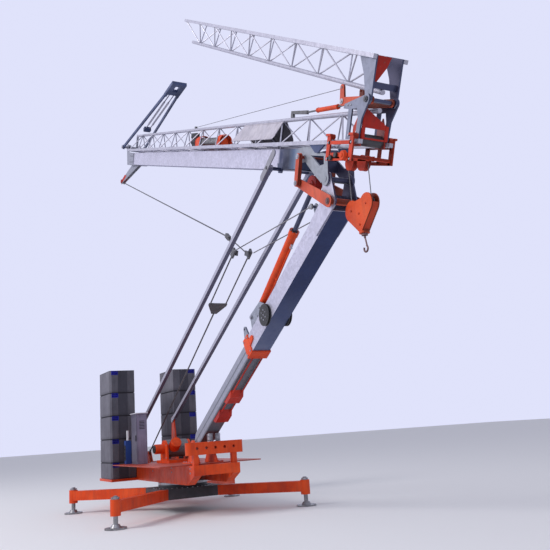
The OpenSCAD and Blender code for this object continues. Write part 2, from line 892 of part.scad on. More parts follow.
module tie_rods() {
    v = tie_node - tie_foot;
    l = norm(v);
    spread = l - tie_fork_l;
    color("dimgray") translate([tie_foot[0], 0, tie_foot[1]]) rotate([0, -atan2(v[1], v[0]), 0]) {
        difference() {
            union() {
                slab(-15, 15) circle(50);
                block([0, -15, -30], [160, 15, 30]);
            }
            bore([0, 0], 40 + pin_play);
        }
        bar([120, 0, 0], [spread - 200, 0, 0], 32);
        translate([spread, 0, 0]) linear_extrude(24, center = true)
            polygon([[-260, -60], [-260, 60], [0, 200], [60, 200], [60, -200], [0, -200]]);
        both_sides() {
            bar([spread + 40, tie_y, 0], [l - 80, tie_y, 0], 28);
            block([l - 100, tie_y - 20, -55], [l + 90, tie_y + 20, 55]);
        }
    }
}

module keeper_ropes() {
    lug_at = [foot_x + lug[0] * cos(lower_mast_lean) - lug[1] * sin(lower_mast_lean),
        foot_z + lug[0] * sin(lower_mast_lean) + lug[1] * cos(lower_mast_lean)];
    along = (lug_at - tie_node) / norm(lug_at - tie_node);
    far = tie_node + 100 * along;
    near = lug_at - 60 * along;
    color("dimgray") both_sides() {
        difference() {
            union() {
                slab(keeper_y - 12, keeper_y + 12) taper(lug_at, 45, near, 24);
                bar([near[0], keeper_y, near[1]], [far[0], keeper_y, far[1]], 22);
            }
            bore(lug_at, lug_pin_d + pin_play);
        }
    }
}

// Jib

// Three chords and their zigzag bracing between two stations
module lattice(x0, x1, b0, b1, low, top, bays) {
    pitch = (b1 - b0) / bays;
    both_sides() {
        block([x0, jib_half_w - chord_side / 2, low - chord_side / 2],
            [x1, jib_half_w + chord_side / 2, low + chord_side / 2]);
        for (i = [0:bays - 1]) {
            foot_a = [b0 + i * pitch, jib_half_w, low];
            foot_b = foot_a + [pitch, 0, 0];
            head = [b0 + (i + 0.5) * pitch, 0, top];
            bar(foot_a, head, brace_d);
            bar(head, foot_b, brace_d);
        }
    }
    bar([x0, 0, top], [x1, 0, top], top_chord_d, 12);
    for (i = [0:bays]) bar([b0 + i * pitch, -jib_half_w, low], [b0 + i * pitch, jib_half_w, low], brace_d);
    for (i = [0:bays - 1]) {
        side = i % 2 == 0 ? jib_half_w : -jib_half_w;
        bar([b0 + i * pitch, -side, low], [b0 + (i + 1) * pitch, side, low], brace_d);
    }
}

module inner_jib_lattice() {
    color("silver") at_inner_jib()
        lattice(lattice_start, inner_jib_l - chord_end_gap, lattice_start + 60,
            inner_jib_l - 480, chord_low, chord_top, inner_bays);
}

module inner_jib_root() {
    ear_y = 110;
    start = lattice_start - 60;
    color("lightgray") at_inner_jib() difference() {
        union() {
            block([start, -chord_out_y, floor_z], [lattice_start, chord_out_y, roof_z]);
            both_sides() slab(ear_y, ear_y + 40) {
                circle(75);
                polygon([[0, -74], [start + 1, floor_z], [start + 1, roof_z], [60, 74], [0, 74]]);
            }
            plate([[start, roof_z - 1], [lattice_start, roof_z - 1], [lattice_start, ridge],
                [lattice_start - 50, ridge]], -25, 25);
        }
        bore([0, 0], foot_pin_d + pin_play);
    }
}

ear_t = 24;
inner_ear_y = chord_in_y + 5;
outer_ear_y = chord_in_y - ear_t;

module jib_fold_ears() {
    foot = [inner_jib_l - 420, roof_z];
    color("lightgray") at_inner_jib() {
        both_sides() slab(inner_ear_y, inner_ear_y + ear_t) difference() {
            union() {
                translate(fold_at) circle(75);
                polygon([foot, [inner_jib_l - 90, roof_z], fold_at + [-60, -250],
                    fold_at + [60, -45], fold_at + [-50, 56], fold_at + [-540, -30],
                    fold_at + [-560, -90], fold_at + [-420, -110]]);
            }
            translate(fold_at) circle((jib_pin_d + pin_play) / 2);
            polygon([foot + [80, 50], foot + [250, 50], fold_at + [-160, -240],
                fold_at + [-200, -110], fold_at + [-330, -110]]);
        }
        block([inner_jib_l - 540, -inner_ear_y - 1, ridge + seat],
            [inner_jib_l - 440, inner_ear_y + 1, jib_fold_z - 60]);
    }
}

// Covers that lean against both sides of the jib
module jib_panels() {
    panel_x = 7450;
    panel_l = 3300;
    slope = norm([jib_half_w, jib_depth]);
    edge = chord_side * 0.7 + 2;
    color("whitesmoke") at_inner_jib() both_sides()
        translate([panel_x, jib_half_w, chord_low]) rotate([atan2(jib_half_w, jib_depth), 0, 0])
            translate([0, brace_d / 2 + seat, edge]) cube([panel_l, 6, slope - 2 * edge]);
}

winch_z = chord_low + 145;
winch_x = 5750;
winch_l = 1450;
winch_floor = chord_low + brace_d / 2 + seat;

// A cylinder along X
module roll(x0, x1, z, d) {
    translate([x0, 0, z]) rotate([0, 90, 0]) cylinder(h = x1 - x0, d = d);
}

module jib_winch() {
    end = winch_x + winch_l;
    color("orangered") at_inner_jib() {
        block([winch_x - 60, -120, winch_floor], [end + 60, 120, winch_floor + 10]);
        for (x = [winch_x - 60, end + 40]) translate([x, 0, 0]) rotate([90, 0, 90]) linear_extrude(20)
            polygon([[-110, winch_floor], [110, winch_floor], [45, winch_z + 60], [-45, winch_z + 60]]);
        roll(winch_x, winch_x + 30, winch_z, 236);
        roll(end - 30, end, winch_z, 236);
        roll(winch_x - 60, end + 60, winch_z, 70);
        roll(winch_x + 1, end - 1, winch_z, 160);
    }
}

module jib_winch_motor() {
    x0 = winch_x - 400;
    color("black") at_inner_jib() {
        roll(x0, winch_x - 60, winch_z + 20, 170);
        block([x0 + 60, -70, winch_floor], [x0 + 280, 70, winch_z]);
    }
}

lever_y = 150;
lever_t = 30;
lever_knee = fold_at + [-740, 30];
lever_top = lever_knee + [-40, 200];
lever_bore = 36;

module fold_lever() {
    color("orangered") at_inner_jib() {
        both_sides() difference() {
            slab(lever_y, lever_y + lever_t) {
                taper(lever_knee, 60, fold_at, 55);
                taper(lever_knee, 60, lever_top, 48);
            }
            bore(fold_at, jib_pin_d + pin_play);
            bore(lever_top, lever_bore);
        }
        pin(lever_knee, link_pin_d, -lever_y - 1, lever_y + 1);
    }
}

// Turnbuckle, links and rope along the top of the inner jib
module fold_rigging() {
    buckle_reach = 1380;
    rope_anchor_x = winch_x - 350;
    link_end = [lever_knee[0] - buckle_reach, ridge + 60];
    link_start = link_end + [-520, 20];
    buckle = [link_end + [380, 15], link_end + [980, 30]];
    rope_start = [rope_anchor_x, ridge + 20];
    color("orangered") at_inner_jib()
        bar([buckle[0][0], 0, buckle[0][1]], [buckle[1][0], 0, buckle[1][1]], 70, 16);
    color("dimgray") at_inner_jib() {
        bar([link_end[0], 0, link_end[1]], [buckle[0][0] + 20, 0, buckle[0][1]], 30);
        bar([buckle[1][0] - 20, 0, buckle[1][1]],
            [lever_knee[0] - link_pin_d / 2 - seat, 0, lever_knee[1]], 30);
        plate([link_start + [0, -20], link_end + [40, -30], link_end + [40, 30],
            link_start + [0, 30]], -20, 20);
        plate([[link_start[0], ridge + seat], [link_start[0] + 90, ridge + seat],
            link_start + [60, 0], link_start], -20, 20);
        block([rope_start[0] - 40, -20, ridge + seat], [rope_start[0] + 40, 20, rope_start[1] + 20]);
        bar([rope_start[0], 0, rope_start[1]], [lever_top[0], 12 - lever_y, lever_top[1]], 10);
        pin(lever_top, lever_bore - pin_play, -lever_y - lever_t - 5, 20 - lever_y);
    }
}

// Trolley and hook

trolley_x = inner_jib_l - trolley_back;
sheave_z = chord_low - 270;
trolley_y = chord_out_y + 40;

// A frame on each side, hung by rollers on the lower chords, and two cheeks for the sheaves
module trolley_frame() {
    posts = [trolley_x - 290, trolley_x + 318];
    post_half = 45;
    foot_z = sheave_z - 55;
    bar_top = sheave_z + 85;
    roller_d = 80;
    roller_z = roof_z + roller_d / 2 + seat;
    cap_z = roof_z + 45;
    out_y = trolley_y + plate_t;
    tube_z = sheave_z + 60;
    tube_d = 50;
    color("orangered") at_inner_jib() {
        both_sides() {
            for (x = posts) {
                block([x - post_half, trolley_y, foot_z], [x + post_half, out_y, cap_z + 1]);
                block([x - post_half - 15, trolley_y, cap_z],
                    [x + post_half + 15, out_y + 20, cap_z + 30]);
                pin([x, roller_z], roller_d, chord_out_y - 22, trolley_y + 1);
            }
            block([posts[0], trolley_y, roof_z - 75], [posts[1], out_y, roof_z - 25]);
            block([posts[0], trolley_y, foot_z], [posts[1], out_y, bar_top]);
            slab(sheave_half + 3, sheave_half + 15) {
                for (s = [-1, 1]) translate([trolley_x + s * sheave_reach, sheave_z])
                    circle(sheave_d / 2 - 12);
                polygon([[posts[0] - 30, tube_z - 35], [posts[1] + 30, tube_z - 35],
                    [posts[1] + 30, tube_z + 35], [posts[0] - 30, tube_z + 35]]);
            }
        }
        for (x = posts) pin([x, tube_z], tube_d, -trolley_y - 1, trolley_y + 1);
    }
}

trolley_core_d = 140;

module trolley_sheaves() {
    color("dimgray") at_inner_jib() for (s = [-1, 1]) {
        at = [trolley_x + s * sheave_reach, sheave_z];
        sheave(at, sheave_d, trolley_core_d);
        both_sides() pin(at, 30, sheave_half - 1, sheave_half + 3 - seat);
    }
}

module trolley_drum() {
    at = [inner_jib_l - 200, chord_low + 40];
    color("dimgray") at_inner_jib() pin(at, 170, 29 - chord_in_y, chord_in_y - 29);
    color("orangered") at_inner_jib() both_sides() {
        slab(chord_in_y - 30, chord_in_y - 10)
            polygon([at + [-110, -100], at + [110, -100], at + [90, 120], at + [0, 330],
                at + [-110, 160]]);
        block([at[0] - 60, chord_in_y - 11, chord_low - 20], [at[0] + 60, chord_in_y, chord_low + 20]);
    }
}

module outer_jib_lattice() {
    color("silver") at_outer_jib()
        lattice(-outer_jib_l, -chord_end_gap, -outer_jib_l + 60, -480, fold_rise + jib_depth,
            fold_rise, outer_bays);
}

module outer_jib_ears() {
    chord_z = fold_rise + jib_depth;
    color("lightgray") at_outer_jib() {
        both_sides() slab(outer_ear_y, chord_in_y)
            polygon([[-440, chord_z - 30], [-440, chord_z + 30], [-30, chord_z + 30], [20, 300],
                [75, 0], [40, -60], [-40, -60], [-75, 0], [-240, 300]]);
        block([-90, -outer_ear_y - 1, fold_rise + top_chord_d / 2 + seat],
            [-20, outer_ear_y + 1, fold_rise + 120]);
        pin([0, 0], jib_pin_d, -inner_ear_y - ear_t - 8, inner_ear_y + ear_t + 8);
    }
}

module at_jib_strut() {
    at_inner_jib() rotate([0, -(jib_strut_rise + upper_mast_slope), 0]) children();
}

module jib_strut() {
    leg_y = 310;
    head_start = jib_strut_l - 700;
    lean = atan2(leg_y - 160, head_start);
    color("darkslateblue") at_jib_strut() difference() {
        union() {
            both_sides() {
                slab(leg_y - 20, leg_y + 20) circle(65);
                translate([0, leg_y, 0]) rotate([0, 0, -lean])
                    block([0, -20, -38], [head_start + 60, 20, 38]);
            }
            block([head_start, -185, -40], [jib_strut_l, 185, 40]);
        }
        block([head_start + 300, -60, -100], [jib_strut_l - 120, 60, 100]);
        block([head_start - 1, -120, -100], [head_start + 120, 120, 100]);
        bore([0, 0], foot_pin_d + pin_play);
    }
}

module jib_strut_rods() {
    start = 1330;
    color("silver") at_jib_strut() {
        both_sides() bar([start + 100, 55, 0], [jib_strut_l - 580 - seat, 55, 0], 28);
        block([start, -90, -50], [start + 120, 90, 50]);
    }
}

// The ropes hang from the outer sides of the sheaves. The level jib spreads the sheaves along X,
// and the ropes still clear their cores by the moving clearance.
block_core_d = 100;
move_gap = 6;
sheave_drop = sheave_reach * sin(upper_mast_slope);
rope_x = sheave_reach + (trolley_core_d + rope_d) / 2 + move_gap;
lobe_x = rope_x - (block_core_d + rope_d) / 2 - seat;

// Places a child at the trolley's middle, level with the world
module at_hook() {
    at_inner_jib() translate([trolley_x, 0, sheave_z]) rotate([0, -upper_mast_slope, 0]) children();
}

module hook_ropes() {
    color("dimgray") at_hook() for (s = [-1, 1])
        translate([s * rope_x, 0, -hook_drop])
            cylinder(h = hook_drop - s * sheave_drop, d = rope_d);
}

block_foot = [0, -hook_drop - 300];
shank_d = 40;
cheek_t = 20;

module hook_block() {
    half = hook_block_t / 2;
    foot_z = block_foot[1];
    color("orangered") at_hook() difference() {
        union() {
            both_sides() slab(half - cheek_t, half) {
                for (s = [-1, 1]) taper([s * lobe_x, -hook_drop], lobe_r, block_foot, 60);
                polygon([[-lobe_x, -hook_drop], [-100, 110 - hook_drop], [100, 110 - hook_drop],
                    [lobe_x, -hook_drop], block_foot]);
            }
            block([-60, cheek_t - half - 1, foot_z - 60], [60, half - cheek_t + 1, foot_z + 60]);
            translate([0, 0, foot_z - 75]) cylinder(h = 30, d = 150);
        }
        translate([0, 0, foot_z - 80]) cylinder(h = 120, d = shank_d + pin_play);
    }
}

module block_sheaves() {
    color("dimgray") at_hook() for (s = [-1, 1]) {
        at = [s * lobe_x, -hook_drop];
        sheave(at, 200, block_core_d);
        both_sides() pin(at, 40, sheave_half - 1, hook_block_t / 2 - cheek_t);
    }
}

module hook() {
    hook_r = 45;
    hook_d = 26;
    top = block_foot[1] - 75;
    eye_z = top - 70;
    bowl_z = eye_z - 150;
    color("gray") at_hook() {
        translate([0, 0, top - 1]) cylinder(h = 111, d = shank_d);
        translate([0, 0, top - 32]) cylinder(h = 32 - seat, d = 90);
        translate([0, 0, eye_z]) cylinder(h = 40, d = 30);
        translate([0, 0, bowl_z]) rotate([90, 0, 0]) rotate([0, 0, 150])
            rotate_extrude(angle = 270) translate([hook_r, 0]) circle(d = hook_d);
        bar([0, 0, eye_z + 20], [hook_r * cos(45), 0, bowl_z + hook_r * sin(45)], hook_d - 4, 16);
    }
}

chassis();
outriggers();
jacks();
slewing_ring_upper();
slewing_platform();
platform_deck();
ballast_course(1);  // ballast_course_1
ballast_course(2);  // ballast_course_2
ballast_course(3);  // ballast_course_3
ballast_course(4);  // ballast_course_4
ballast_course(5);  // ballast_course_5
lifting_pockets();
control_cabinet();
power_box();
hoist_winch();
strut_posts();
mast_foot_bracket();
front_cross_beam();
buffer_coils();
lower_mast_base();
mast_guides();
telescope_collar();
lower_mast_box();
lower_mast_head();
ram_bracket();
ram_pulley();
stay_lugs();
ram_barrel();
ram_rod();
bell_crank();
toggle_links();
upper_mast_box();
upper_mast_foot();
upper_mast_head();
head_tie();
rear_struts();
tie_rods();
keeper_ropes();
inner_jib_lattice();
inner_jib_root();
jib_fold_ears();
jib_panels();
jib_winch();
jib_winch_motor();
fold_lever();
fold_rigging();
trolley_frame();
trolley_sheaves();
trolley_drum();
outer_jib_lattice();
outer_jib_ears();
jib_strut();
jib_strut_rods();
hook_ropes();
hook_block();
block_sheaves();
hook();
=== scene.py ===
import math

import bmesh
import bpy
from mathutils import Matrix, Vector


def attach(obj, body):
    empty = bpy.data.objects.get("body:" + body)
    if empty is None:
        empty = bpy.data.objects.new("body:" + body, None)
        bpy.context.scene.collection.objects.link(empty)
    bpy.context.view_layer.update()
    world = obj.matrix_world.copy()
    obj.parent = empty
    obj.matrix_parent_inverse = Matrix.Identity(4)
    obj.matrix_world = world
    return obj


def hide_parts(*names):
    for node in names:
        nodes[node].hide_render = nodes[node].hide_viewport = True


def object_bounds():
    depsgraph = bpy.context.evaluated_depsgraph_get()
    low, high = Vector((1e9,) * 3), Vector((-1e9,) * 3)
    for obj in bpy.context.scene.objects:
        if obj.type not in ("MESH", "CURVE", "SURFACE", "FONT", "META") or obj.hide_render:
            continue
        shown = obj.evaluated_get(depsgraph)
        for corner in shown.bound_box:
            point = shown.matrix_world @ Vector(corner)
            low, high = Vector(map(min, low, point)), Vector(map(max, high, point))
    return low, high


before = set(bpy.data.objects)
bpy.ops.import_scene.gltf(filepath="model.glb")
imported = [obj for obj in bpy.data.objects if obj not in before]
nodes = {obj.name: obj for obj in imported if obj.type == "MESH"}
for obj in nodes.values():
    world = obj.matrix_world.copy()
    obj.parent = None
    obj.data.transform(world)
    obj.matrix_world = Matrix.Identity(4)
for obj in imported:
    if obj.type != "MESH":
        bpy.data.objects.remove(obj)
cad_low, cad_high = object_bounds()
scene = bpy.context.scene

# Camera at the photograph's viewpoint

PHOTO_SIDE = 550
FOCAL_PIXELS = 703.1
SENSOR = 36

camera_data = bpy.data.cameras.new("photo_view")
camera_data.sensor_width = SENSOR
camera_data.lens = FOCAL_PIXELS / PHOTO_SIDE * SENSOR
camera_data.clip_end = 500
camera = bpy.data.objects.new("photo_view", camera_data)
scene.collection.objects.link(camera)
right = Vector((0.4425, 0.8943, -0.0662)).normalized()
back = right.cross(Vector((0.2229, -0.0382, 0.9741))).normalized()
turn = Matrix((right, back.cross(right).normalized(), back)).transposed().to_4x4()
camera.matrix_world = Matrix.Translation((15.917, -5.448, 1.6)) @ turn
scene.camera = camera


# Frames of the crane's own members, in metres, as the CAD source names them


def axes(origin, angle):
    """A frame at origin whose X is turned up by angle about the crane's cross axis."""
    return Matrix.Translation(origin) @ Matrix.Rotation(-angle, 4, "Y")


def turned(member, direction):
    """A direction in a member's frame, as the row frame has it."""
    return member.to_3x3() @ Vector(direction)


AHEAD = (1, 0, 0)
UP = (0, 0, 1)
DOWN = (0, 0, -1)
LEAN = math.radians(28.4)
SLOPE = math.radians(21.4)

LOWER = axes((1.35, 0, 1.42), LEAN)
FOLD_PIN = LOWER @ Vector((7.25, 0, 0.34))
UPPER = axes(FOLD_PIN, -SLOPE)
JIB_ROOT = UPPER @ Vector((-11.95, 0, 0.62))
JIB = axes(JIB_ROOT, -SLOPE)
JIB_FOLD_X, JIB_FOLD_Z = 12.85, 0.47
OUTER = axes(JIB @ Vector((JIB_FOLD_X, 0, JIB_FOLD_Z)), -math.radians(34))
JIB_STRUT = axes(JIB_ROOT, 0)
RAM_X, RAM_Z = 3.8, 0.47
RAM_AT = LOWER @ Vector((RAM_X, 0, RAM_Z))
KNEE_X, KNEE_Z = 6.72, 0.82
KNEE = LOWER @ Vector((KNEE_X, 0, KNEE_Z))
RAM = axes(RAM_AT, math.atan2(KNEE.z - RAM_AT.z, KNEE.x - RAM_AT.x))
SHEAVES_X = 12.432
HOOK = Matrix.Translation(JIB @ Vector((SHEAVES_X, 0, -0.36)))
STRUT_FOOT = Vector((-1.7, 0, 2.05))
STRUT_EYE_X, STRUT_EYE_Z = -1.6, 0.12
STRUT_EYE = UPPER @ Vector((STRUT_EYE_X, 0, STRUT_EYE_Z))
STRUT = axes(STRUT_EYE, math.atan2(STRUT_EYE.z - STRUT_FOOT.z, STRUT_EYE.x - STRUT_FOOT.x))
WORLD = Matrix.Identity(4)

DECK_TOP = 1.05

# Ballast courses above the lowest: foot of the first and their height
COURSE_FOOT = 1.09
COURSE_PITCH = 0.57

# Jib lattice: half the distance of the lower chords, and the heights of lower and upper chords
JIB_HALF = 0.25
JIB_LOW = -0.09
JIB_TOP = 0.35

# Toggle links' upper pin, in the upper mast's frame
TOGGLE_X, TOGGLE_Z = -0.729, 0.315

# Jib winch: height of its drum's axis
WINCH_Z = 0.055


# Materials


class Nodes:
    """Builds one procedural material."""

    def __init__(self, name):
        self.material = bpy.data.materials.new(name)
        self.material.use_nodes = True
        self.tree = self.material.node_tree
        self.tree.nodes.clear()
        self.shader = self.new("BsdfPrincipled")
        self.join(self.shader.outputs[0], self.new("OutputMaterial").inputs[0])
        coordinates = self.new("TexCoord")
        self.place = coordinates.outputs["Object"]
        self.normal = coordinates.outputs["Normal"]

    def new(self, kind, inputs=None):
        node = self.tree.nodes.new("ShaderNode" + kind)
        for name, value in (inputs or {}).items():
            node.inputs[name].default_value = value
        return node

    def join(self, a, b):
        self.tree.links.new(a, b)

    def give(self, socket, value):
        """Links a socket, or sets it to a number or a colour."""
        if hasattr(value, "node"):
            self.join(value, socket)
        elif isinstance(value, (int, float)):
            socket.default_value = value
        else:
            socket.default_value = (*value, 1)

    def noise(self, scale, detail=4.0, rough=0.55, stretch=None):
        node = self.new("TexNoise", {"Scale": scale, "Detail": detail, "Roughness": rough})
        self.join(self.stretched(stretch), node.inputs["Vector"])
        return node.outputs["Fac"]

    def cells(self, scale, out="Distance", stretch=None):
        node = self.new("TexVoronoi", {"Scale": scale})
        self.join(self.stretched(stretch), node.inputs["Vector"])
        return node.outputs[out]

    def stretched(self, stretch):
        if stretch is None:
            return self.place
        node = self.new("Mapping", {"Scale": stretch})
        self.join(self.place, node.inputs["Vector"])
        return node.outputs["Vector"]

    def ramp(self, value, stops):
        node = self.new("ValToRGB")
        elements = node.color_ramp.elements
        while len(elements) < len(stops):
            elements.new(0.5)
        for element, (at, colour) in zip(elements, stops):
            element.position = at
            element.color = (*colour, 1)
        self.join(value, node.inputs["Fac"])
        return node.outputs["Color"]

    def grey(self, value, stops):
        return self.ramp(value, [(at, (level,) * 3) for at, level in stops])

    def mask(self, value, low, high, most=1.0):
        """0 up to low, and most from high on."""
        return self.grey(value, [(low, 0), (high, most)])

    def patchy(self, scale, low, high):
        """A roughness that varies between two values."""
        return self.grey(self.noise(scale, 4), [(0.3, low), (0.8, high)])

    def mix(self, factor, a, b, kind="MIX"):
        node = self.new("Mix")
        node.data_type = "RGBA"
        node.blend_type = kind
        for socket, value in ((node.inputs[0], factor), (node.inputs[6], a), (node.inputs[7], b)):
            self.give(socket, value)
        return node.outputs[2]

    def shaded(self, mask, colour, factor):
        """Colour, multiplied by a factor where mask is 1."""
        return self.mix(mask, colour, self.mix(1.0, colour, (factor,) * 3, "MULTIPLY"))

    def compute(self, operation, *values):
        node = self.new("Math")
        node.operation = operation
        for socket, value in zip(node.inputs, values):
            self.give(socket, value)
        return node.outputs[0]

    def dot(self, source, direction):
        node = self.new("VectorMath")
        node.operation = "DOT_PRODUCT"
        node.inputs[1].default_value = direction
        self.join(source, node.inputs[0])
        return node.outputs["Value"]

    def part(self, source, axis):
        """One coordinate of a place or a normal."""
        node = self.new("SeparateXYZ")
        self.join(source, node.inputs[0])
        return node.outputs[axis]

    def linear(self, value, low, high):
        """0 to 1 while value goes from low to high."""
        node = self.new("MapRange", {"From Min": low, "From Max": high})
        self.join(value, node.inputs["Value"])
        return node.outputs["Result"]

    def along(self, direction, low, high):
        """0 to 1 between two places along a direction."""
        return self.linear(self.dot(self.place, direction), low, high)

    def facing(self, direction, low=0.5, high=0.8):
        """1 where the piece's own surface faces direction."""
        return self.mask(self.dot(self.normal, Vector(direction).normalized()), low, high)

    def inward(self):
        """1 where the surface faces the crane's middle plane."""
        product = self.compute("MULTIPLY", self.part(self.place, "Y"), self.part(self.normal, "Y"))
        return self.linear(product, -0.01, -0.04)

    def off_centre(self, value, soft=0.002):
        """1 where the place is further than value from the crane's middle plane."""
        distance = self.compute("ABSOLUTE", self.part(self.place, "Y"))
        return self.linear(distance, value, value + soft)

    def every_course(self):
        """1 in a dark strip at the joint under each ballast course, fading upwards."""
        foot = COURSE_FOOT - 0.012
        rise = self.compute("WRAP", self.part(self.place, "Z"), foot + COURSE_PITCH, foot)
        return self.grey(self.linear(rise, foot, COURSE_FOOT + 0.10),
            [(0.0, 0.95), (0.26, 0.9), (0.32, 0.35), (0.9, 0)])

    def bump(self, heights):
        """Bumps on each other, each of a height, a strength and a distance."""
        last = None
        for height, strength, distance in heights:
            node = self.new("Bump", {"Strength": strength, "Distance": distance})
            self.join(height, node.inputs["Height"])
            if last is not None:
                self.join(last, node.inputs["Normal"])
            last = node.outputs["Normal"]
        self.join(last, self.shader.inputs["Normal"])

    def finish(self, colour, rough, metal=0.0, gloss=0.5):
        self.shader.inputs["Specular IOR Level"].default_value = gloss
        for name, value in (("Base Color", colour), ("Roughness", rough), ("Metallic", metal)):
            self.give(self.shader.inputs[name], value)
        return self.material


def scaled(colour, factor, most=1.0):
    """A colour times a factor, up to the most that a channel may have."""
    return tuple(min(most, c * factor) for c in colour)


PRIMER = (0.16, 0.12, 0.10)
GRIME = (0.05, 0.04, 0.035)
RUST = (0.12, 0.06, 0.035)


def paint(name, base, light, dark, rough=0.42, chips=True, shades=()):
    """Machine paint. Each of shades is a direction, or None for inner faces, and a factor of
    painted shade there.
    """
    m = Nodes(name)
    fade = m.ramp(m.noise(1.6, 5, 0.6), [(0.3, dark), (0.52, base), (0.75, light)])
    streak = m.mask(m.noise(5, 4, 0.6, (2.4, 2.4, 0.35)), 0.45, 0.72, 0.5)
    colour = m.mix(streak, fade, tuple(c * 0.45 + 0.02 for c in base))
    if chips:
        colour = m.mix(m.mask(m.noise(22, 8, 0.68), 0.665, 0.685), colour, PRIMER)
    # Painted shade: darker on faces toward a direction, or towards the middle plane.
    for direction, factor in shades:
        mask = m.inward() if direction is None else m.facing(direction)
        colour = m.shaded(mask, colour, factor)
    m.bump([(m.noise(260, 2, 0.5), 0.12, 0.001), (m.noise(9, 3), 0.12, 0.004)])
    return m.finish(colour, m.patchy(7, rough - 0.1, rough + 0.18), gloss=0.22)


def zinc(name, tint=(0.47, 0.465, 0.55), front=None, spangle=26, calm=0.7, inner=None, shade_along=None,
        shade_lines=None):
    """Galvanised steel.

    Front is the direction and tone of a painted reflection and shade on faces that look toward the
    dark ground, and how that tone fades. Inner is the tone of a painted shade on faces towards the
    middle plane. A tone along a member paints shade and reflection there, and bands along it paint
    the shade of grooves.
    """
    m = Nodes(name)
    split = m.new("SeparateColor")
    m.join(m.cells(spangle, "Color"), split.inputs[0])
    flake = m.ramp(split.outputs[0],
        [(0.1, scaled(tint, 1 - 0.14 * calm)), (0.9, scaled(tint, 1 + 0.12 * calm))])
    cloud = m.mask(m.noise(2.2, 6, 0.62), 0.35, 0.75, 0.55 * calm)
    colour = m.mix(cloud, flake, scaled(tint, 0.62))
    run = m.mask(m.noise(6, 5, 0.6, (3, 3, 0.3)), 0.55, 0.8, 0.4 * calm)
    colour = m.mix(run, colour, scaled(tint, 1.35, 0.8))
    # Painted reflection and shade on faces toward a direction, mottled by noise.
    if front:
        direction, dark, fade = front
        shade = dark
        if fade:
            pale, *reach = fade
            shade = m.mix(m.along(*reach), pale, dark)
        blotch = m.mask(m.noise(3, 5, 0.6), 0.3, 0.75, 0.5)
        colour = m.mix(m.facing(direction), colour, m.mix(blotch, shade, scaled(dark, 1.7)))
    # Painted shade on faces towards the middle plane.
    if inner:
        colour = m.mix(m.inward(), colour, inner)
    # Painted shade and reflection in a patch along a member, broken up by noise.
    if shade_along:
        reach, strengths, tones = shade_along
        way = m.along(*reach)
        blotch = m.grey(m.noise(5, 5, 0.6), [(0.2, 0.75), (0.6, 1)])
        shade_amount = m.mix(1.0, m.grey(way, strengths), blotch, "MULTIPLY")
        colour = m.mix(shade_amount, colour, m.ramp(way, tones))
    # Painted shade: dark bands along a member where its grooves are.
    if shade_lines:
        reach, strengths = shade_lines
        colour = m.shaded(m.grey(m.along(*reach), strengths), colour, 0.45)
    m.bump([(m.noise(120, 3), 0.08 * calm, 0.001), (m.noise(14, 4), 0.1, 0.003)])
    return m.finish(colour, m.patchy(9, 0.34, 0.55), 0.45)


def steel(name, base, rough=0.4, metal=0.85, grime=0.5):
    m = Nodes(name)
    tone = m.ramp(m.noise(12, 5, 0.6, (1, 1, 1)), [(0.3, scaled(base, 0.7)), (0.7, scaled(base, 1.2))])
    colour = m.mix(m.mask(m.noise(4, 6, 0.65), 0.5, 0.8, grime), tone, GRIME)
    m.bump([(m.noise(180, 2), 0.15, 0.0008)])
    return m.finish(colour, m.patchy(8, rough - 0.1, rough + 0.15), metal)


def rope(name, base):
    """Laid wire: slanted strands from a wave across the piece's own place."""
    m = Nodes(name)
    wave = m.new("TexWave", {"Scale": 55, "Distortion": 0.6})
    wave.bands_direction = "DIAGONAL"
    m.join(m.place, wave.inputs["Vector"])
    strand = wave.outputs["Fac"]
    # Darker towards the grooves between strands: painted shade.
    colour = m.ramp(strand, [(0.2, scaled(base, 0.45)), (0.7, base)])
    colour = m.mix(m.mask(m.noise(7, 5, 0.6), 0.55, 0.8, 0.45), colour, RUST)
    m.bump([(strand, 0.5, 0.003)])
    return m.finish(colour, 0.48, 0.6)


def concrete(name):
    """Cast blocks, with painted shade in a recess down the middle of the front face and over all
    front faces.
    """
    m = Nodes(name)
    front = m.facing(AHEAD, 0.6, 0.9)
    base = m.ramp(m.noise(1.3, 6, 0.65),
        [(0.3, (0.10, 0.098, 0.125)), (0.55, (0.145, 0.142, 0.175)), (0.8, (0.20, 0.195, 0.235))])
    stain = m.mask(m.noise(3.2, 6, 0.62, (2.2, 2.2, 0.45)), 0.48, 0.75, 0.6)
    colour = m.mix(stain, base, (0.06, 0.058, 0.075))
    bloom = m.mask(m.noise(8, 6, 0.7), 0.62, 0.75, 0.35)
    colour = m.mix(bloom, colour, (0.30, 0.29, 0.34))
    # Painted shade in the recess, on front faces only.
    ends = m.mix(1.0, m.off_centre(0.70, 0.006), m.off_centre(0.94, 0.006), "SUBTRACT")
    recess = m.mix(1.0, ends, front, "MULTIPLY")
    colour = m.mix(recess, colour, m.mix(1.0, colour, (0.5, 0.5, 0.55), "MULTIPLY"))
    # Pits darkened: painted shade in them.
    pits = m.mask(m.cells(46), 0.04, 0.12)
    colour = m.mix(pits, (0.04, 0.04, 0.05), colour)
    colour = m.mix(m.every_course(), colour, (0.018, 0.016, 0.024))
    # Painted shade on faces toward the front.
    colour = m.shaded(front, colour, 0.72)
    raised = m.mix(1.0, (1, 1, 1), recess, "SUBTRACT")
    m.bump([(raised, 0.6, 0.02), (pits, 0.4, 0.004), (m.noise(60, 6, 0.7), 0.3, 0.003),
        (m.noise(5, 4), 0.3, 0.008)])
    return m.finish(colour, 0.88)


def two_tone(name, base, outer, beyond):
    """Steel in the middle and paint on the side plates beyond a distance from the middle plane."""
    m = Nodes(name)
    tone = m.ramp(m.noise(9, 5, 0.6), [(0.3, scaled(base, 0.7)), (0.7, scaled(base, 1.25))])
    skin = m.ramp(m.noise(4, 5, 0.6), [(0.3, scaled(outer, 0.75)), (0.7, outer)])
    m.bump([(m.noise(180, 2), 0.12, 0.0008)])
    return m.finish(m.mix(m.off_centre(beyond), tone, skin), 0.45, 0.2)


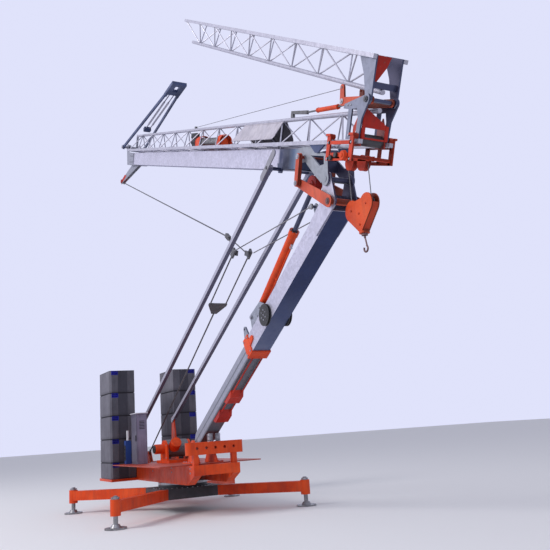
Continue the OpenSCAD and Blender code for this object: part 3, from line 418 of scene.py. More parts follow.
def box_and_mast(name, base, top, height):
    """Paint below a height and a pale tube above it."""
    m = Nodes(name)
    skin = m.ramp(m.noise(3, 5, 0.6), [(0.3, scaled(base, 0.7)), (0.75, base)])
    pale = m.ramp(m.noise(8, 5, 0.6), [(0.3, scaled(top, 0.85)), (0.7, top)])
    m.bump([(m.noise(200, 2), 0.1, 0.0006)])
    return m.finish(m.mix(m.along(UP, height, height + 0.002), skin, pale), 0.42)


def plate_tread(name, base):
    """Chequer plate: raised ovals in two directions over paint with wear."""
    m = Nodes(name)
    one, two = (m.grey(m.cells(16, stretch=stretch), [(0.12, 1), (0.2, 0)])
        for stretch in ((1, 2.6, 1), (2.6, 1, 1)))
    tread = m.mix(0.5, one, two, "ADD")
    fade = m.ramp(m.noise(2.5, 6, 0.65), [(0.3, scaled(base, 0.5)), (0.7, base)])
    colour = m.mix(m.mask(m.noise(11, 6, 0.7), 0.6, 0.68, 0.8), fade, (0.16, 0.13, 0.12))
    m.bump([(tread, 0.6, 0.004), (m.noise(200, 2), 0.1, 0.001)])
    return m.finish(colour, 0.5)


def plastic(name, base, rough=0.5):
    m = Nodes(name)
    colour = m.ramp(m.noise(6, 4), [(0.3, scaled(base, 0.75)), (0.75, scaled(base, 1.3))])
    m.bump([(m.noise(300, 2), 0.12, 0.0006)])
    return m.finish(colour, rough)


def reach_of(member, axis, low, high):
    """An axis of a member, and how far along it two of the member's places lie."""
    way = turned(member, axis)
    return way, *((member @ (Vector(axis) * at)).dot(way) for at in (low, high))


# Painted reflection and shade on faces that look forward or down, and on inner plate faces.
FORWARD = (1, 0, -0.2)
LOWER_MAST_SHADE = (turned(LOWER, DOWN), (0.012, 0.024, 0.090),
    ((0.15, 0.18, 0.29), turned(LOWER, AHEAD), 5.3, 7.2))
UPPER_MAST_SHADE = (turned(UPPER, DOWN), (0.15, 0.15, 0.26), None)
STRUT_SHADE = (turned(STRUT, DOWN), (0.10, 0.105, 0.165), None)
PLATE_FORWARD_SHADE = (FORWARD, (0.055, 0.062, 0.12), None)
PLATE_INSIDE_SHADE = (0.050, 0.048, 0.095)
# Painted shade and reflection near the upper mast's fold: dark navy, then teal.
FOLD_SHADE = (reach_of(UPPER, AHEAD, -1.80, -0.70), [(0.03, 0), (0.10, 1), (0.66, 0.95), (0.86, 0)],
    [(0.1, (0.030, 0.040, 0.10)), (0.5, (0.016, 0.020, 0.052)), (0.72, (0.085, 0.14, 0.25))])
# Painted shade of the grooves along the mast base's sides, as dark bands.
BASE_GROOVE_SHADE = (reach_of(LOWER, UP, -0.20, 0.20),
    [(0.22, 0), (0.26, 1), (0.34, 1), (0.38, 0), (0.60, 0), (0.63, 1), (0.68, 1), (0.71, 0)])
PALE_TINT = (0.55, 0.54, 0.66)

ORANGE = paint("orange_paint", (0.70, 0.066, 0.010), (0.78, 0.10, 0.022), (0.50, 0.036, 0.008))
# Painted shade: this paint and the hook block's are darker toward the front and the middle plane.
FADED = paint("faded_orange_paint", (0.62, 0.105, 0.052), (0.68, 0.15, 0.085), (0.46, 0.06, 0.03),
    shades=((FORWARD, 0.30), (None, 0.25)))
BLOCK = paint("hook_block_paint", (0.66, 0.080, 0.018), (0.74, 0.12, 0.03), (0.50, 0.045, 0.010),
    shades=((FORWARD, 0.30), (None, 0.25)))
RIM = paint("hook_block_rim_paint", (0.50, 0.050, 0.016), (0.58, 0.08, 0.025),
    (0.36, 0.030, 0.010))
# Painted shade: the trolley's paint is darker toward the front and the middle plane.
TROLLEY = paint("trolley_paint", (0.60, 0.050, 0.016), (0.70, 0.080, 0.028),
    (0.34, 0.022, 0.011), shades=((FORWARD, 0.50), (None, 0.40)))
RED = paint("red_paint", (0.42, 0.022, 0.014), (0.54, 0.045, 0.022), (0.24, 0.012, 0.010))
STRUT_BLUE = paint("strut_blue_paint", (0.050, 0.068, 0.155), (0.10, 0.125, 0.24),
    (0.022, 0.030, 0.08), 0.4, False)
CHASSIS = paint("chassis_grey_paint", (0.055, 0.058, 0.068), (0.10, 0.10, 0.11),
    (0.03, 0.03, 0.035), 0.5)
NAVY = paint("pocket_blue_paint", (0.016, 0.020, 0.36), (0.03, 0.035, 0.48),
    (0.01, 0.012, 0.16), 0.4, False)
# Painted shade: the cabinet's paint is darker on faces toward -Y.
CABINET = paint("cabinet_paint", (0.24, 0.22, 0.32), (0.31, 0.29, 0.40), (0.18, 0.17, 0.25),
    chips=False, shades=(((0, -1, 0), 0.40),))
WHITE = paint("white_sheet_paint", (0.66, 0.65, 0.71), (0.74, 0.73, 0.78), (0.54, 0.53, 0.60),
    0.4, False)
# Painted shade: the covers' paint is darker on faces towards the middle plane.
COVER = paint("jib_cover_paint", (0.52, 0.49, 0.56), (0.60, 0.57, 0.63), (0.42, 0.40, 0.48),
    0.45, False, ((None, 0.22),))
MOTOR = paint("motor_paint", (0.03, 0.03, 0.034), (0.06, 0.06, 0.065), (0.015, 0.015, 0.017),
    0.45, False)
ZINC = zinc("galvanised")
ZINC_LOWER = zinc("galvanised_lower_mast", PALE_TINT, LOWER_MAST_SHADE)
ZINC_BASE = zinc("galvanised_base", (0.34, 0.35, 0.42), shade_lines=BASE_GROOVE_SHADE)
ZINC_UPPER = zinc("galvanised_upper_mast", PALE_TINT, UPPER_MAST_SHADE, shade_along=FOLD_SHADE)
ZINC_TUBE = zinc("galvanised_tube", (0.42, 0.415, 0.50), STRUT_SHADE, 14, 0.25)
ZINC_HEAD = zinc("galvanised_strut_head", (0.27, 0.265, 0.30), PLATE_FORWARD_SHADE, 14, 0.4)
ZINC_DARK = zinc("galvanised_dark", (0.30, 0.31, 0.37))
PLATE_GREY = zinc("plate_grey", (0.30, 0.32, 0.38), PLATE_FORWARD_SHADE, 18, inner=PLATE_INSIDE_SHADE)
PLATE_BLUE = zinc("plate_fold_ear", (0.20, 0.215, 0.285), PLATE_FORWARD_SHADE, 18, inner=PLATE_INSIDE_SHADE)
PLATE_FOOT = zinc("plate_upper_foot", (0.30, 0.32, 0.36), PLATE_FORWARD_SHADE, 18, inner=PLATE_INSIDE_SHADE,
    shade_along=FOLD_SHADE)
PLATE_PALE = zinc("plate_pale", PALE_TINT, PLATE_FORWARD_SHADE, 18, inner=PLATE_INSIDE_SHADE)
STEEL = steel("machined_steel", (0.38, 0.38, 0.40))
SCREW = steel("screw_steel", (0.28, 0.28, 0.29), 0.38, 0.8, 0.7)
RAM_ROD = steel("ram_rod_steel", (0.060, 0.068, 0.125), 0.3, 0.4, 0.2)
DARK_STEEL = steel("cast_sheave", (0.10, 0.10, 0.115), 0.5, 0.7, 0.6)
HOOK_STEEL = steel("forged_steel", (0.17, 0.10, 0.10), 0.5, 0.7, 0.6)
BRIGHT = steel("bright_steel", (0.42, 0.42, 0.46), 0.36, 0.85, 0.3)
ROD = steel("dark_rod", (0.13, 0.13, 0.14), 0.5, 0.6)
ROPE = rope("wire_rope", (0.25, 0.25, 0.27))
CONCRETE = concrete("cast_concrete")
TREAD = plate_tread("chequer_plate", (0.50, 0.055, 0.018))
POWER = box_and_mast("power_box_paint", (0.014, 0.055, 0.26), (0.62, 0.62, 0.66), DECK_TOP + 0.561)
BLACK = plastic("black_nylon", (0.018, 0.018, 0.02))
RUBBER = plastic("black_rubber", (0.012, 0.012, 0.013), 0.7)
DRUM = two_tone("trolley_drum_paint", (0.07, 0.07, 0.08), (0.44, 0.04, 0.022), 0.189)

LOOKS = {
    "chassis": CHASSIS, "outriggers": ORANGE, "jacks": SCREW, "slewing_ring_upper": STEEL,
    "slewing_platform": ORANGE, "platform_deck": TREAD, "lifting_pockets": NAVY,
    "control_cabinet": CABINET, "power_box": POWER, "hoist_winch": ORANGE, "strut_posts": ORANGE,
    "mast_foot_bracket": ORANGE, "front_cross_beam": ORANGE, "buffer_coils": BRIGHT,
    "lower_mast_base": ZINC_BASE, "mast_guides": RED, "telescope_collar": ORANGE,
    "lower_mast_box": ZINC_LOWER, "lower_mast_head": PLATE_PALE, "ram_bracket": PLATE_GREY,
    "ram_pulley": BLACK, "stay_lugs": PLATE_GREY, "ram_barrel": ORANGE, "ram_rod": RAM_ROD,
    "bell_crank": FADED, "toggle_links": FADED, "upper_mast_box": ZINC_UPPER,
    "upper_mast_foot": PLATE_FOOT, "upper_mast_head": ZINC_DARK, "head_tie": ROD,
    "rear_struts": ZINC_TUBE, "tie_rods": ROD, "keeper_ropes": ROPE, "inner_jib_lattice": ZINC,
    "inner_jib_root": ZINC_DARK, "jib_fold_ears": PLATE_BLUE, "jib_panels": COVER,
    "jib_winch": ORANGE, "jib_winch_motor": MOTOR, "fold_lever": FADED, "fold_rigging": ROD,
    "trolley_frame": TROLLEY, "trolley_sheaves": TROLLEY, "trolley_drum": DRUM,
    "outer_jib_lattice": ZINC, "outer_jib_ears": PLATE_BLUE, "jib_strut": STRUT_BLUE,
    "jib_strut_rods": ZINC_TUBE, "hook_ropes": ROPE, "hook_block": BLOCK,
    "block_sheaves": DARK_STEEL, "hook": HOOK_STEEL,
    **{f"ballast_course_{course}": CONCRETE for course in range(1, 6)},
}
for name, node in nodes.items():
    node.data.materials.clear()
    node.data.materials.append(LOOKS[name])


# Mesh helpers


def make(name, mesh, material, smooth=False):
    """Makes an object of a bmesh in the row frame."""
    data = bpy.data.meshes.new(name)
    mesh.to_mesh(data)
    mesh.free()
    data.materials.append(material)
    for face in data.polygons:
        face.use_smooth = smooth
    piece = bpy.data.objects.new(name, data)
    scene.collection.objects.link(piece)
    return piece


def add(name, mesh, material, body, smooth=False):
    """Makes a piece that rides on a body."""
    piece = make(name, mesh, material, smooth)
    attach(piece, body)
    return piece


def toward(place, direction):
    """A frame at place whose Z points along direction."""
    turn = Vector(direction).normalized().to_track_quat("Z", "Y").to_matrix().to_4x4()
    return Matrix.Translation(place) @ turn


def sideways(member, x, y, z, side):
    """A frame at a place in a member whose Z points to the left, or right where side is -1."""
    return toward(member @ Vector((x, y, z)), (0, side, 0))


def span(side, a, b):
    """Two distances from the middle plane on one side, as low and high Y."""
    return sorted((side * a, side * b))


def arc(x, z, radius, start, end, steps):
    """Places on an arc, both ends among them, as pairs."""
    return [(x + radius * math.cos(a), z + radius * math.sin(a))
        for a in (start + (end - start) * k / steps for k in range(steps + 1))]


def circle(x, z, radius, steps):
    """Places round a circle, as pairs."""
    return arc(x, z, radius, 0, 2 * math.pi, steps)[:-1]


def capsule(a, b, radius):
    """Outline round two places, as pairs."""
    way = math.atan2(b[1] - a[1], b[0] - a[0])
    return arc(*b, radius, way - math.pi / 2, way + math.pi / 2, 12) + arc(
        *a, radius, way + math.pi / 2, way + 3 * math.pi / 2, 12)


def prism(mesh, at, sides, radius, low, high, top=None):
    """A prism or cone along the Z of frame at."""
    top = radius if top is None else top
    made = bmesh.ops.create_cone(mesh, cap_ends=True, segments=sides, radius1=radius, radius2=top,
        depth=high - low)
    move = at @ Matrix.Translation((0, 0, (low + high) / 2))
    bmesh.ops.transform(mesh, matrix=move, verts=made["verts"])


def box(mesh, at, low, high, bevel=0.0):
    made = bmesh.ops.create_cube(mesh, size=1)
    size = [h - l for l, h in zip(low, high)]
    middle = [(h + l) / 2 for l, h in zip(low, high)]
    move = at @ Matrix.Translation(middle) @ Matrix.Diagonal((*size, 1))
    bmesh.ops.transform(mesh, matrix=move, verts=made["verts"])
    if bevel:
        edges = list(dict.fromkeys(e for v in made["verts"] for e in v.link_edges))
        bmesh.ops.bevel(mesh, geom=edges, offset=bevel, segments=2, affect="EDGES",
            clamp_overlap=True)


def walls(mesh, ring, other):
    """Faces between two rings of vertices."""
    count = len(ring)
    return [mesh.faces.new((ring[i], ring[j], other[j], other[i]))
        for i, j in ((i, (i + 1) % count) for i in range(count))]


def tube(mesh, points, radius, sides=6, closed=True):
    """A round tube through points."""
    points = [Vector(p) for p in points]
    count = len(points)
    rings = []
    normal = None
    for i, point in enumerate(points):
        ahead = points[(i + 1) % count] if closed or i + 1 < count else points[i]
        behind = points[i - 1] if closed or i > 0 else points[i]
        way = (ahead - behind).normalized()
        if normal is None:
            normal = way.orthogonal().normalized()
        normal = (normal - way * normal.dot(way)).normalized()
        other = way.cross(normal)
        rings.append([mesh.verts.new(point + a * normal + b * other)
            for a, b in circle(0, 0, radius, sides)])
    for i in range(count if closed else count - 1):
        walls(mesh, rings[i], rings[(i + 1) % count])
    if not closed:
        mesh.faces.new(list(reversed(rings[0])))
        mesh.faces.new(rings[-1])


def ring_at(mesh, member, places):
    """New vertices at a member's places."""
    return [mesh.verts.new(member @ Vector(place)) for place in places]


def plate(mesh, ring, other):
    """A closed plate between two rings of vertices."""
    made = [mesh.faces.new(ring), mesh.faces.new(list(reversed(other)))]
    bmesh.ops.recalc_face_normals(mesh, faces=made + walls(mesh, ring, other))


def slab(mesh, member, outline, y0, y1):
    """A plate of an outline in a member's X and Z, from y0 to y1."""
    plate(mesh, *(ring_at(mesh, member, [(x, y, z) for x, z in outline]) for y in (y0, y1)))


def sheet(mesh, member, outline, x0, x1):
    """A plate of an outline in a member's Y and Z, from x0 to x1."""
    plate(mesh, *(ring_at(mesh, member, [(x, y, z) for y, z in outline]) for x in (x0, x1)))


def bolt(mesh, place, direction, size):
    """A hexagon bolt head on its washer."""
    at = toward(place, direction)
    prism(mesh, at, 16, size * 1.25, -0.002, size * 0.22)
    prism(mesh, at, 6, size * 0.95, size * 0.2, size * 0.85)


def bolts(name, body, member, places, direction, size, material=BRIGHT):
    """Bolts at a member's places, with their heads in a direction of the row frame."""
    mesh = bmesh.new()
    for place in places:
        bolt(mesh, member @ Vector(place), direction, size)
    return add(name, mesh, material, body)


def pin_caps(name, body, member, x, z, y, radius, material=BRIGHT):
    """Keeper washers on both ends of a cross pin at a point in a member's frame."""
    mesh = bmesh.new()
    for side in (-1, 1):
        end = sideways(member, x, side * y, z, side)
        prism(mesh, end, 24, radius, -0.001, 0.012)
        prism(mesh, end, 24, radius * 0.6, 0.011, 0.024, radius * 0.5)
    return add(name, mesh, material, body)


# Fasteners and pin keepers. The bolts that both sides have are rows of name, body, member,
# direction of the heads, places with the left side's Y, and size.

PULLEY_X, PULLEY_Z = 4.415, 0.035

for side, tag, drum_y in ((-1, "right", 0.33), (1, "left", 0.28)):
    out = (0, side, 0)
    for name, body, member, direction, places, size, *look in (
        ("collar", "lower_mast", LOWER, out,
            [(x, 0.19, z) for x in (3.40, 3.55) for z in (-0.09, 0.19)], 0.015),
        ("ram_bracket", "lower_mast", LOWER, out,
            [(3.84, 0.11, 0.30), (4.02, 0.11, 0.33), (4.16, 0.11, 0.40), (4.28, 0.11, 0.30)], 0.014),
        ("pulley", "lower_mast", LOWER, out, [(x, 0.2302, z)
            for x, z in circle(PULLEY_X, PULLEY_Z, 0.085, 6) + [(PULLEY_X, PULLEY_Z)]], 0.012),
        ("upper_head", "upper_mast", UPPER, out,
            [(x, 0.19, z) for x in (-11.32, -11.44, -11.56) for z in (0.20, 0.36)], 0.016),
        ("foot_bracket", "platform", WORLD, UP,
            [(x, 0.30, DECK_TOP + 0.025) for x in (1.02, 1.18, 1.35, 1.52, 1.68)], 0.017),
        ("strut_post", "platform", WORLD, UP,
            [(x, 0.345, DECK_TOP + 0.02) for x in (-1.88, -1.66, -1.44)], 0.015),
        ("fold_ear", "inner_jib", JIB, out, [(12.50, 0.249, 0.0), (12.62, 0.249, 0.0),
            (12.70, 0.249, 0.04), (12.40, 0.249, 0.415), (12.48, 0.249, 0.415)], 0.013),
        ("trolley", "inner_jib", JIB, out,
            [(x, 0.345, z) for x in (12.142, 12.75) for z in (-0.337, -0.11)], 0.013),
        ("hook_cheek", "hook_block", HOOK, out, [(-0.186, 0.065, -0.663), (0.186, 0.065, -0.663),
            (0.0, 0.065, -0.756), (0.0, 0.065, -0.916)], 0.014, RIM),
        ("drum", "platform", WORLD, out,
            [(x, drum_y, z) for z in (1.16, 1.44) for x in (-0.50, -0.12)], 0.014),
        ("strut_head", "jib_strut", JIB_STRUT, UP,
            [(x, y, 0.04) for x in (3.56, 3.70, 3.84) for y in (0.10, 0.15)], 0.012),
        ("beam", "platform", WORLD, out,
            [(x, 0.50, z) for x in (-0.63, 0.77, 1.96) for z in (0.88, 0.97)], 0.016),
    ):
        bolts(f"{name}_bolts_{tag}", body, member, [(x, side * y, z) for x, y, z in places],
            direction, size, *look)
bolts("chassis_ring_bolts", "undercarriage", WORLD, [(x, y, 0.52) for x, y in circle(0, 0, 0.66, 36)],
    UP, 0.014)

pin_caps("foot_pin_caps", "platform", LOWER, 0, 0, 0.240, 0.055)
pin_caps("crank_pin_caps", "bell_crank", LOWER, 7.15, -0.03, 0.270, 0.050, HOOK_STEEL)
pin_caps("toggle_pin_caps", "toggle_links", UPPER, TOGGLE_X, TOGGLE_Z, 0.338, 0.042)
pin_caps("knee_pin_caps", "toggle_links", LOWER, KNEE_X, KNEE_Z, 0.338, 0.042)
pin_caps("ram_pin_caps", "lower_mast", LOWER, RAM_X, RAM_Z, 0.120, 0.038)
pin_caps("root_pin_caps", "upper_mast", JIB, 0, 0, 0.350, 0.052)
pin_caps("jib_fold_pin_caps", "outer_jib", JIB, JIB_FOLD_X, JIB_FOLD_Z, 0.257, 0.042, DARK_STEEL)
pin_caps("lever_pin_caps", "inner_jib", JIB, 12.11, 0.50, 0.180, 0.040)
pin_caps("strut_foot_caps", "rear_struts", WORLD, STRUT_FOOT.x, STRUT_FOOT.z, 0.436, 0.040)
pin_caps("strut_eye_caps", "rear_struts", UPPER, STRUT_EYE_X, STRUT_EYE_Z, 0.430, 0.052, DARK_STEEL)

# Weld collars where the bracing meets the chords

BRACE = 0.013


def jib_welds(name, body, member, start, end, low, top, bays):
    mesh = bmesh.new()
    pitch = (end - start) / bays

    def collars(p, q):
        p, q = Vector(p), Vector(q)
        way = (q - p).normalized()
        for a, b in ((p, way), (q, -way)):
            place = toward(member @ (a + b * 0.030), turned(member, b))
            prism(mesh, place, 8, BRACE * 1.7, 0.0, 0.022, BRACE * 1.08)

    for side in (-1, 1):
        for i in range(bays):
            head = (start + (i + 0.5) * pitch, 0, top)
            collars((start + i * pitch, side * JIB_HALF, low), head)
            collars(head, (start + (i + 1) * pitch, side * JIB_HALF, low))
    for i in range(bays + 1):
        x = start + i * pitch
        collars((x, -JIB_HALF, low), (x, JIB_HALF, low))
    add(name, mesh, ZINC_DARK, body)


jib_welds("inner_jib_welds", "inner_jib", JIB, 0.42, 12.37, JIB_LOW, JIB_TOP, 12)
jib_welds("outer_jib_welds", "outer_jib", OUTER, -8.34, -0.48, 0.56, 0.12, 8)

# Splice plates and clamps along the jib

mesh = bmesh.new()
for x in (4.40, 8.40):
    for y in (-JIB_HALF, JIB_HALF):
        for z in (-0.124, -0.060):
            box(mesh, JIB, (x - 0.16, y - 0.026, z), (x + 0.16, y + 0.026, z + 0.004), 0.001)
        for dx in (-0.12, -0.05, 0.05, 0.12):
            bolt(mesh, JIB @ Vector((x + dx, y, -0.056)), turned(JIB, UP), 0.009)
add("inner_chord_splices", mesh, ZINC_DARK, "inner_jib")

# Ram: rod wiper, oil ports with their pipe unions, and the bolts of its head

mesh = bmesh.new()
prism(mesh, RAM @ Matrix.Rotation(math.pi / 2, 4, "Y"), 32, 0.058, 2.018, 2.034, 0.050)
add("ram_wiper", mesh, RUBBER, "ram_barrel")
mesh = bmesh.new()
for x in (0.36, 1.74):
    prism(mesh, toward(RAM @ Vector((x, 0, -0.07)), turned(RAM, DOWN)), 6, 0.024, 0.0, 0.052)
for x in (0.315, 1.79):
    prism(mesh, toward(RAM @ Vector((x, 0, -0.099)), turned(RAM, AHEAD)), 6, 0.023, -0.02, 0.02)
for y, z in circle(0, 0, 0.073, 8):
    bolt(mesh, RAM @ Vector((2.02, y, z)), turned(RAM, AHEAD), 0.008)
add("ram_fittings", mesh, BRIGHT, "ram_barrel")

# Buffer springs on the front beam, wound as the real ones

SPRING_X, SPRING_Y = 2.05, 0.08
SPRING_RADIUS, SPRING_RISE = 0.054, 0.146
SPRING_TURNS = 5.4
TURN_STEPS = 24

springs = bmesh.new()
for y in (-SPRING_Y, SPRING_Y):
    turns = [k / TURN_STEPS for k in range(int(SPRING_TURNS * TURN_STEPS) + 1)]
    tube(springs, [(SPRING_X + SPRING_RADIUS * math.cos(2 * math.pi * n),
        y + SPRING_RADIUS * math.sin(2 * math.pi * n), 1.492 + SPRING_RISE * n / SPRING_TURNS)
        for n in turns], 0.0105, 10, False)
    at = Matrix.Translation((SPRING_X, y, 0))
    prism(springs, at, 24, 0.036, 1.48, 1.648)
    prism(springs, at, 24, 0.064, 1.4801, 1.486)
spring_piece = add("buffer_springs", springs, BRIGHT, "platform", True)
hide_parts("buffer_coils")

# Hoist: rope on the drum, motor fins and brake

DRUM_X, DRUM_Z = -0.31, 1.37

mesh = bmesh.new()
for k in range(30):
    y = -0.272 + k * 0.0165
    tube(mesh, [(x, y, z) for x, z in circle(DRUM_X, DRUM_Z, 0.192, 40)], 0.0085)
add("hoist_rope_turns", mesh, ROPE, "platform", True)

motor = Matrix.Translation((-0.04, -0.14, 1.45)) @ Matrix.Rotation(math.radians(62), 4, "Y")
mesh = bmesh.new()
for k in range(24):
    fin = motor @ Matrix.Rotation(2 * math.pi * k / 24, 4, "Z")
    box(mesh, fin, (0.110, -0.003, -0.105), (0.128, 0.003, 0.095))
prism(mesh, motor, 32, 0.120, 0.100, 0.132, 0.108)
prism(mesh, motor, 24, 0.060, 0.131, 0.142)
for x, y in circle(0, 0, 0.088, 6):
    bolt(mesh, motor @ Vector((x, y, 0.132)), turned(motor, UP), 0.008)
add("hoist_motor_fins", mesh, ORANGE, "platform")
mesh = bmesh.new()
end = sideways(WORLD, DRUM_X, -0.54, DRUM_Z, -1)
prism(mesh, end, 32, 0.095, -0.002, 0.030, 0.085)
prism(mesh, end, 16, 0.035, 0.029, 0.045)
for x, y in circle(0, 0, 0.070, 8):
    bolt(mesh, end @ Vector((x, y, 0.030)), (0, -1, 0), 0.007)
add("hoist_brake", mesh, MOTOR, "platform")

# Cabinet and power box, the one narrower and the other nearer the middle than their CAD nodes, as
# in the photo

ROOF = DECK_TOP + 1.15
cabinet = bmesh.new()
box(cabinet, WORLD, (-1.30, -0.81, DECK_TOP), (-0.82, -0.56, ROOF), 0.008)
box(cabinet, WORLD, (-1.315, -0.825, ROOF), (-0.79, -0.545, ROOF + 0.025), 0.004)
cabinet_piece = add("cabinet_body", cabinet, CABINET, "platform")
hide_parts("control_cabinet")
mesh = bmesh.new()
box(mesh, WORLD, (-1.285, -0.816, 1.10), (-0.835, -0.809, 2.15), 0.004)
box(mesh, WORLD, (-0.822, -0.785, 1.10), (-0.815, -0.585, 2.15), 0.004)
add("cabinet_doors", mesh, CABINET, "platform")
mesh = bmesh.new()
for z in (1.25, 1.62, 2.0):
    prism(mesh, Matrix.Translation((-1.292, -0.818, z)), 12, 0.010, -0.04, 0.04)
box(mesh, WORLD, (-0.885, -0.835, 1.58), (-0.860, -0.815, 1.72), 0.004)
for k in range(6):
    louvre = 1.86 + 0.035 * k
    box(mesh, WORLD, (-0.817, -0.750, louvre), (-0.811, -0.620, louvre + 0.015), 0.002)
add("cabinet_fittings", mesh, MOTOR, "platform")
mesh = bmesh.new()
box(mesh, WORLD, (-1.325, -0.835, ROOF + 0.022), (-0.780, -0.535, ROOF + 0.040), 0.006)
add("cabinet_cap", mesh, WHITE, "platform")

power = bmesh.new()
box(power, WORLD, (-1.72, -0.885, DECK_TOP), (-1.56, -0.745, DECK_TOP + 0.56), 0.006)
prism(power, Matrix.Translation((-1.64, -0.815, 0)), 20, 0.030, DECK_TOP + 0.559, DECK_TOP + 0.80)
power_piece = add("power_box_body", power, POWER, "platform")
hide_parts("power_box")
mesh = bmesh.new()
box(mesh, WORLD, (-1.70, -0.892, 1.14), (-1.58, -0.884, 1.50), 0.004)
for z in (1.20, 1.30, 1.40):
    prism(mesh, sideways(WORLD, -1.64, -0.892, z, -1), 20, 0.020, 0.0, 0.014, 0.016)
add("power_box_face", mesh, MOTOR, "platform")

# Turnbuckle sleeve over the rope tightener on top of the jib

mesh = bmesh.new()
sleeve_start, sleeve_end = JIB @ Vector((11.11, 0, 0.460)), JIB @ Vector((11.71, 0, 0.475))
sleeve = toward(sleeve_start, sleeve_end - sleeve_start)
prism(mesh, sleeve, 20, 0.0362, 0.0, 0.60)
for low in (-0.012, 0.578):
    prism(mesh, sleeve, 6, 0.043, low, low + 0.034)
add("turnbuckle_sleeve", mesh, ORANGE, "inner_jib")

# Jib covers: a sheet on each side with folded rims and rivets. The photo shows them shorter than
# the CAD node that they replace. A cover's frame starts at the chord and leans with the flank.

COVER_START, COVER_LENGTH = 8.24, 1.75
COVER_LOW, COVER_HIGH = 0.100, 0.470
COVER_IN, COVER_OUT = 0.0140, 0.0196
CORNER = 0.09
RIM_WIDTH, RIM_RISE = 0.022, 0.007

flank = math.atan2(JIB_HALF, JIB_TOP - JIB_LOW)
corner = arc(COVER_LENGTH - CORNER, COVER_LOW + CORNER, CORNER, -math.pi / 2, 0, 8)
outline = [(0.09, COVER_HIGH), (-0.09, COVER_LOW), *corner, (COVER_LENGTH, COVER_HIGH)]
covers = bmesh.new()
for side, tag in ((-1, "right"), (1, "left")):
    foot = Matrix.Translation((COVER_START, side * JIB_HALF, JIB_LOW))
    cover = JIB @ foot @ Matrix.Rotation(side * flank, 4, "X")
    slab(covers, cover, outline, *span(side, COVER_IN, COVER_OUT))
    mesh = bmesh.new()
    near, far = span(side, COVER_OUT, COVER_OUT + RIM_RISE)
    for start, z in ((-0.07, COVER_LOW), (0.10, COVER_HIGH - RIM_WIDTH)):
        box(mesh, cover, (start, near, z), (COVER_LENGTH - CORNER, far, z + RIM_WIDTH), 0.002)
    box(mesh, cover, (COVER_LENGTH - RIM_WIDTH - 0.004, near, COVER_LOW + CORNER),
        (COVER_LENGTH - 0.004, far, COVER_HIGH), 0.002)
    add(f"cover_rims_{tag}", mesh, COVER, "inner_jib")
    mesh = bmesh.new()
    for k in range(12):
        for z in (COVER_LOW + RIM_WIDTH / 2, COVER_HIGH - RIM_WIDTH / 2):
            place = cover @ Vector((0.13 + 0.136 * k, side * (COVER_OUT + RIM_RISE), z))
            rivet = toward(place, turned(cover, (0, side, 0)))
            prism(mesh, rivet, 8, 0.006, 0.0, 0.003, 0.004)
    add(f"cover_rivets_{tag}", mesh, BRIGHT, "inner_jib")
covers_piece = add("jib_covers", covers, COVER, "inner_jib")
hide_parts("jib_panels")

# Jib winch: rope turns and motor fins

mesh = bmesh.new()
for k in range(88):
    x = 5.792 + k * 0.0156
    tube(mesh, [JIB @ Vector((x, y, z)) for y, z in circle(0, WINCH_Z, 0.082, 24)], 0.0082)
add("jib_winch_rope", mesh, ROPE, "inner_jib", True)
mesh = bmesh.new()
for k in range(16):
    turn = Matrix.Rotation(2 * math.pi * k / 16, 4, "X")
    fin = JIB @ Matrix.Translation((0, 0, 0.075)) @ turn
    box(mesh, fin, (5.39, -0.003, 0.080), (5.66, 0.003, 0.096))
add("jib_motor_fins", mesh, MOTOR, "inner_jib")

# Fin at the mast head: red paint and bosses on its tip

TIP = [(-12.90, -0.452), (-12.55, -0.30), (-12.40, -0.2), (-12.60, -0.19), (-12.99, -0.382)]

mesh = bmesh.new()
bosses = bmesh.new()
for side in (-1, 1):
    for y0, y1 in ((0.0502, 0.0535), (0.0265, 0.0298)):
        slab(mesh, UPPER, TIP, side * y0, side * y1)
    prism(bosses, sideways(UPPER, -12.93, side * 0.0535, -0.40, side), 20, 0.060, 0.0, 0.022, 0.054)
add("fin_tip_paint", mesh, RED, "upper_mast")
add("fin_tip_bosses", bosses, RED, "upper_mast")

# Flat heads on the rear struts

mesh = bmesh.new()
for side in (-1, 1):
    slab(mesh, STRUT, capsule((-0.22, 0), (0.32, 0.01), 0.060), *span(side, 0.430, 0.446))
add("strut_heads", mesh, ZINC_HEAD, "rear_struts")

# Round housing of the ram rod's eye, between the crank's plates

mesh = bmesh.new()
prism(mesh, sideways(LOWER, KNEE_X, -0.055, KNEE_Z, 1), 40, 0.150, 0.0, 0.110)
for side in (-1, 1):
    prism(mesh, sideways(LOWER, KNEE_X, side * 0.055, KNEE_Z, side), 28, 0.080, 0.0, 0.020, 0.070)
add("ram_rod_housing", mesh, RED, "ram_rod")

# Rims along the lower flanks of the hook block, between its cheeks. Each follows a sheave's lobe
# and then runs straight to the round foot.

LOBE_X, LOBE_Z, LOBE_RADIUS = 0.1857, -0.663, 0.150
FOOT_Z, FOOT_RADIUS = LOBE_Z - 0.300, 0.060
RIM_THICK = 0.012

straight = Vector((-LOBE_X, FOOT_Z - LOBE_Z))
tangent = math.atan2(straight.y, straight.x) + math.acos(
    (LOBE_RADIUS - FOOT_RADIUS) / straight.length)
outer, inner = (
    arc(LOBE_X, LOBE_Z, LOBE_RADIUS - inset, math.radians(-8), tangent, 10)
    + [((FOOT_RADIUS - inset) * math.cos(tangent), FOOT_Z + (FOOT_RADIUS - inset) * math.sin(tangent))]
    for inset in (0, RIM_THICK))
mesh = bmesh.new()
for way in (-1, 1):
    walls(mesh, *(ring_at(mesh, HOOK, [(way * x, y, z) for x, z in outer + inner[::-1]])
        for y in (-0.0455, 0.0455)))
bmesh.ops.recalc_face_normals(mesh, faces=mesh.faces)
add("hook_block_rims", mesh, RIM, "hook_block")

# Toggle links are hollow boxes, open to their pins

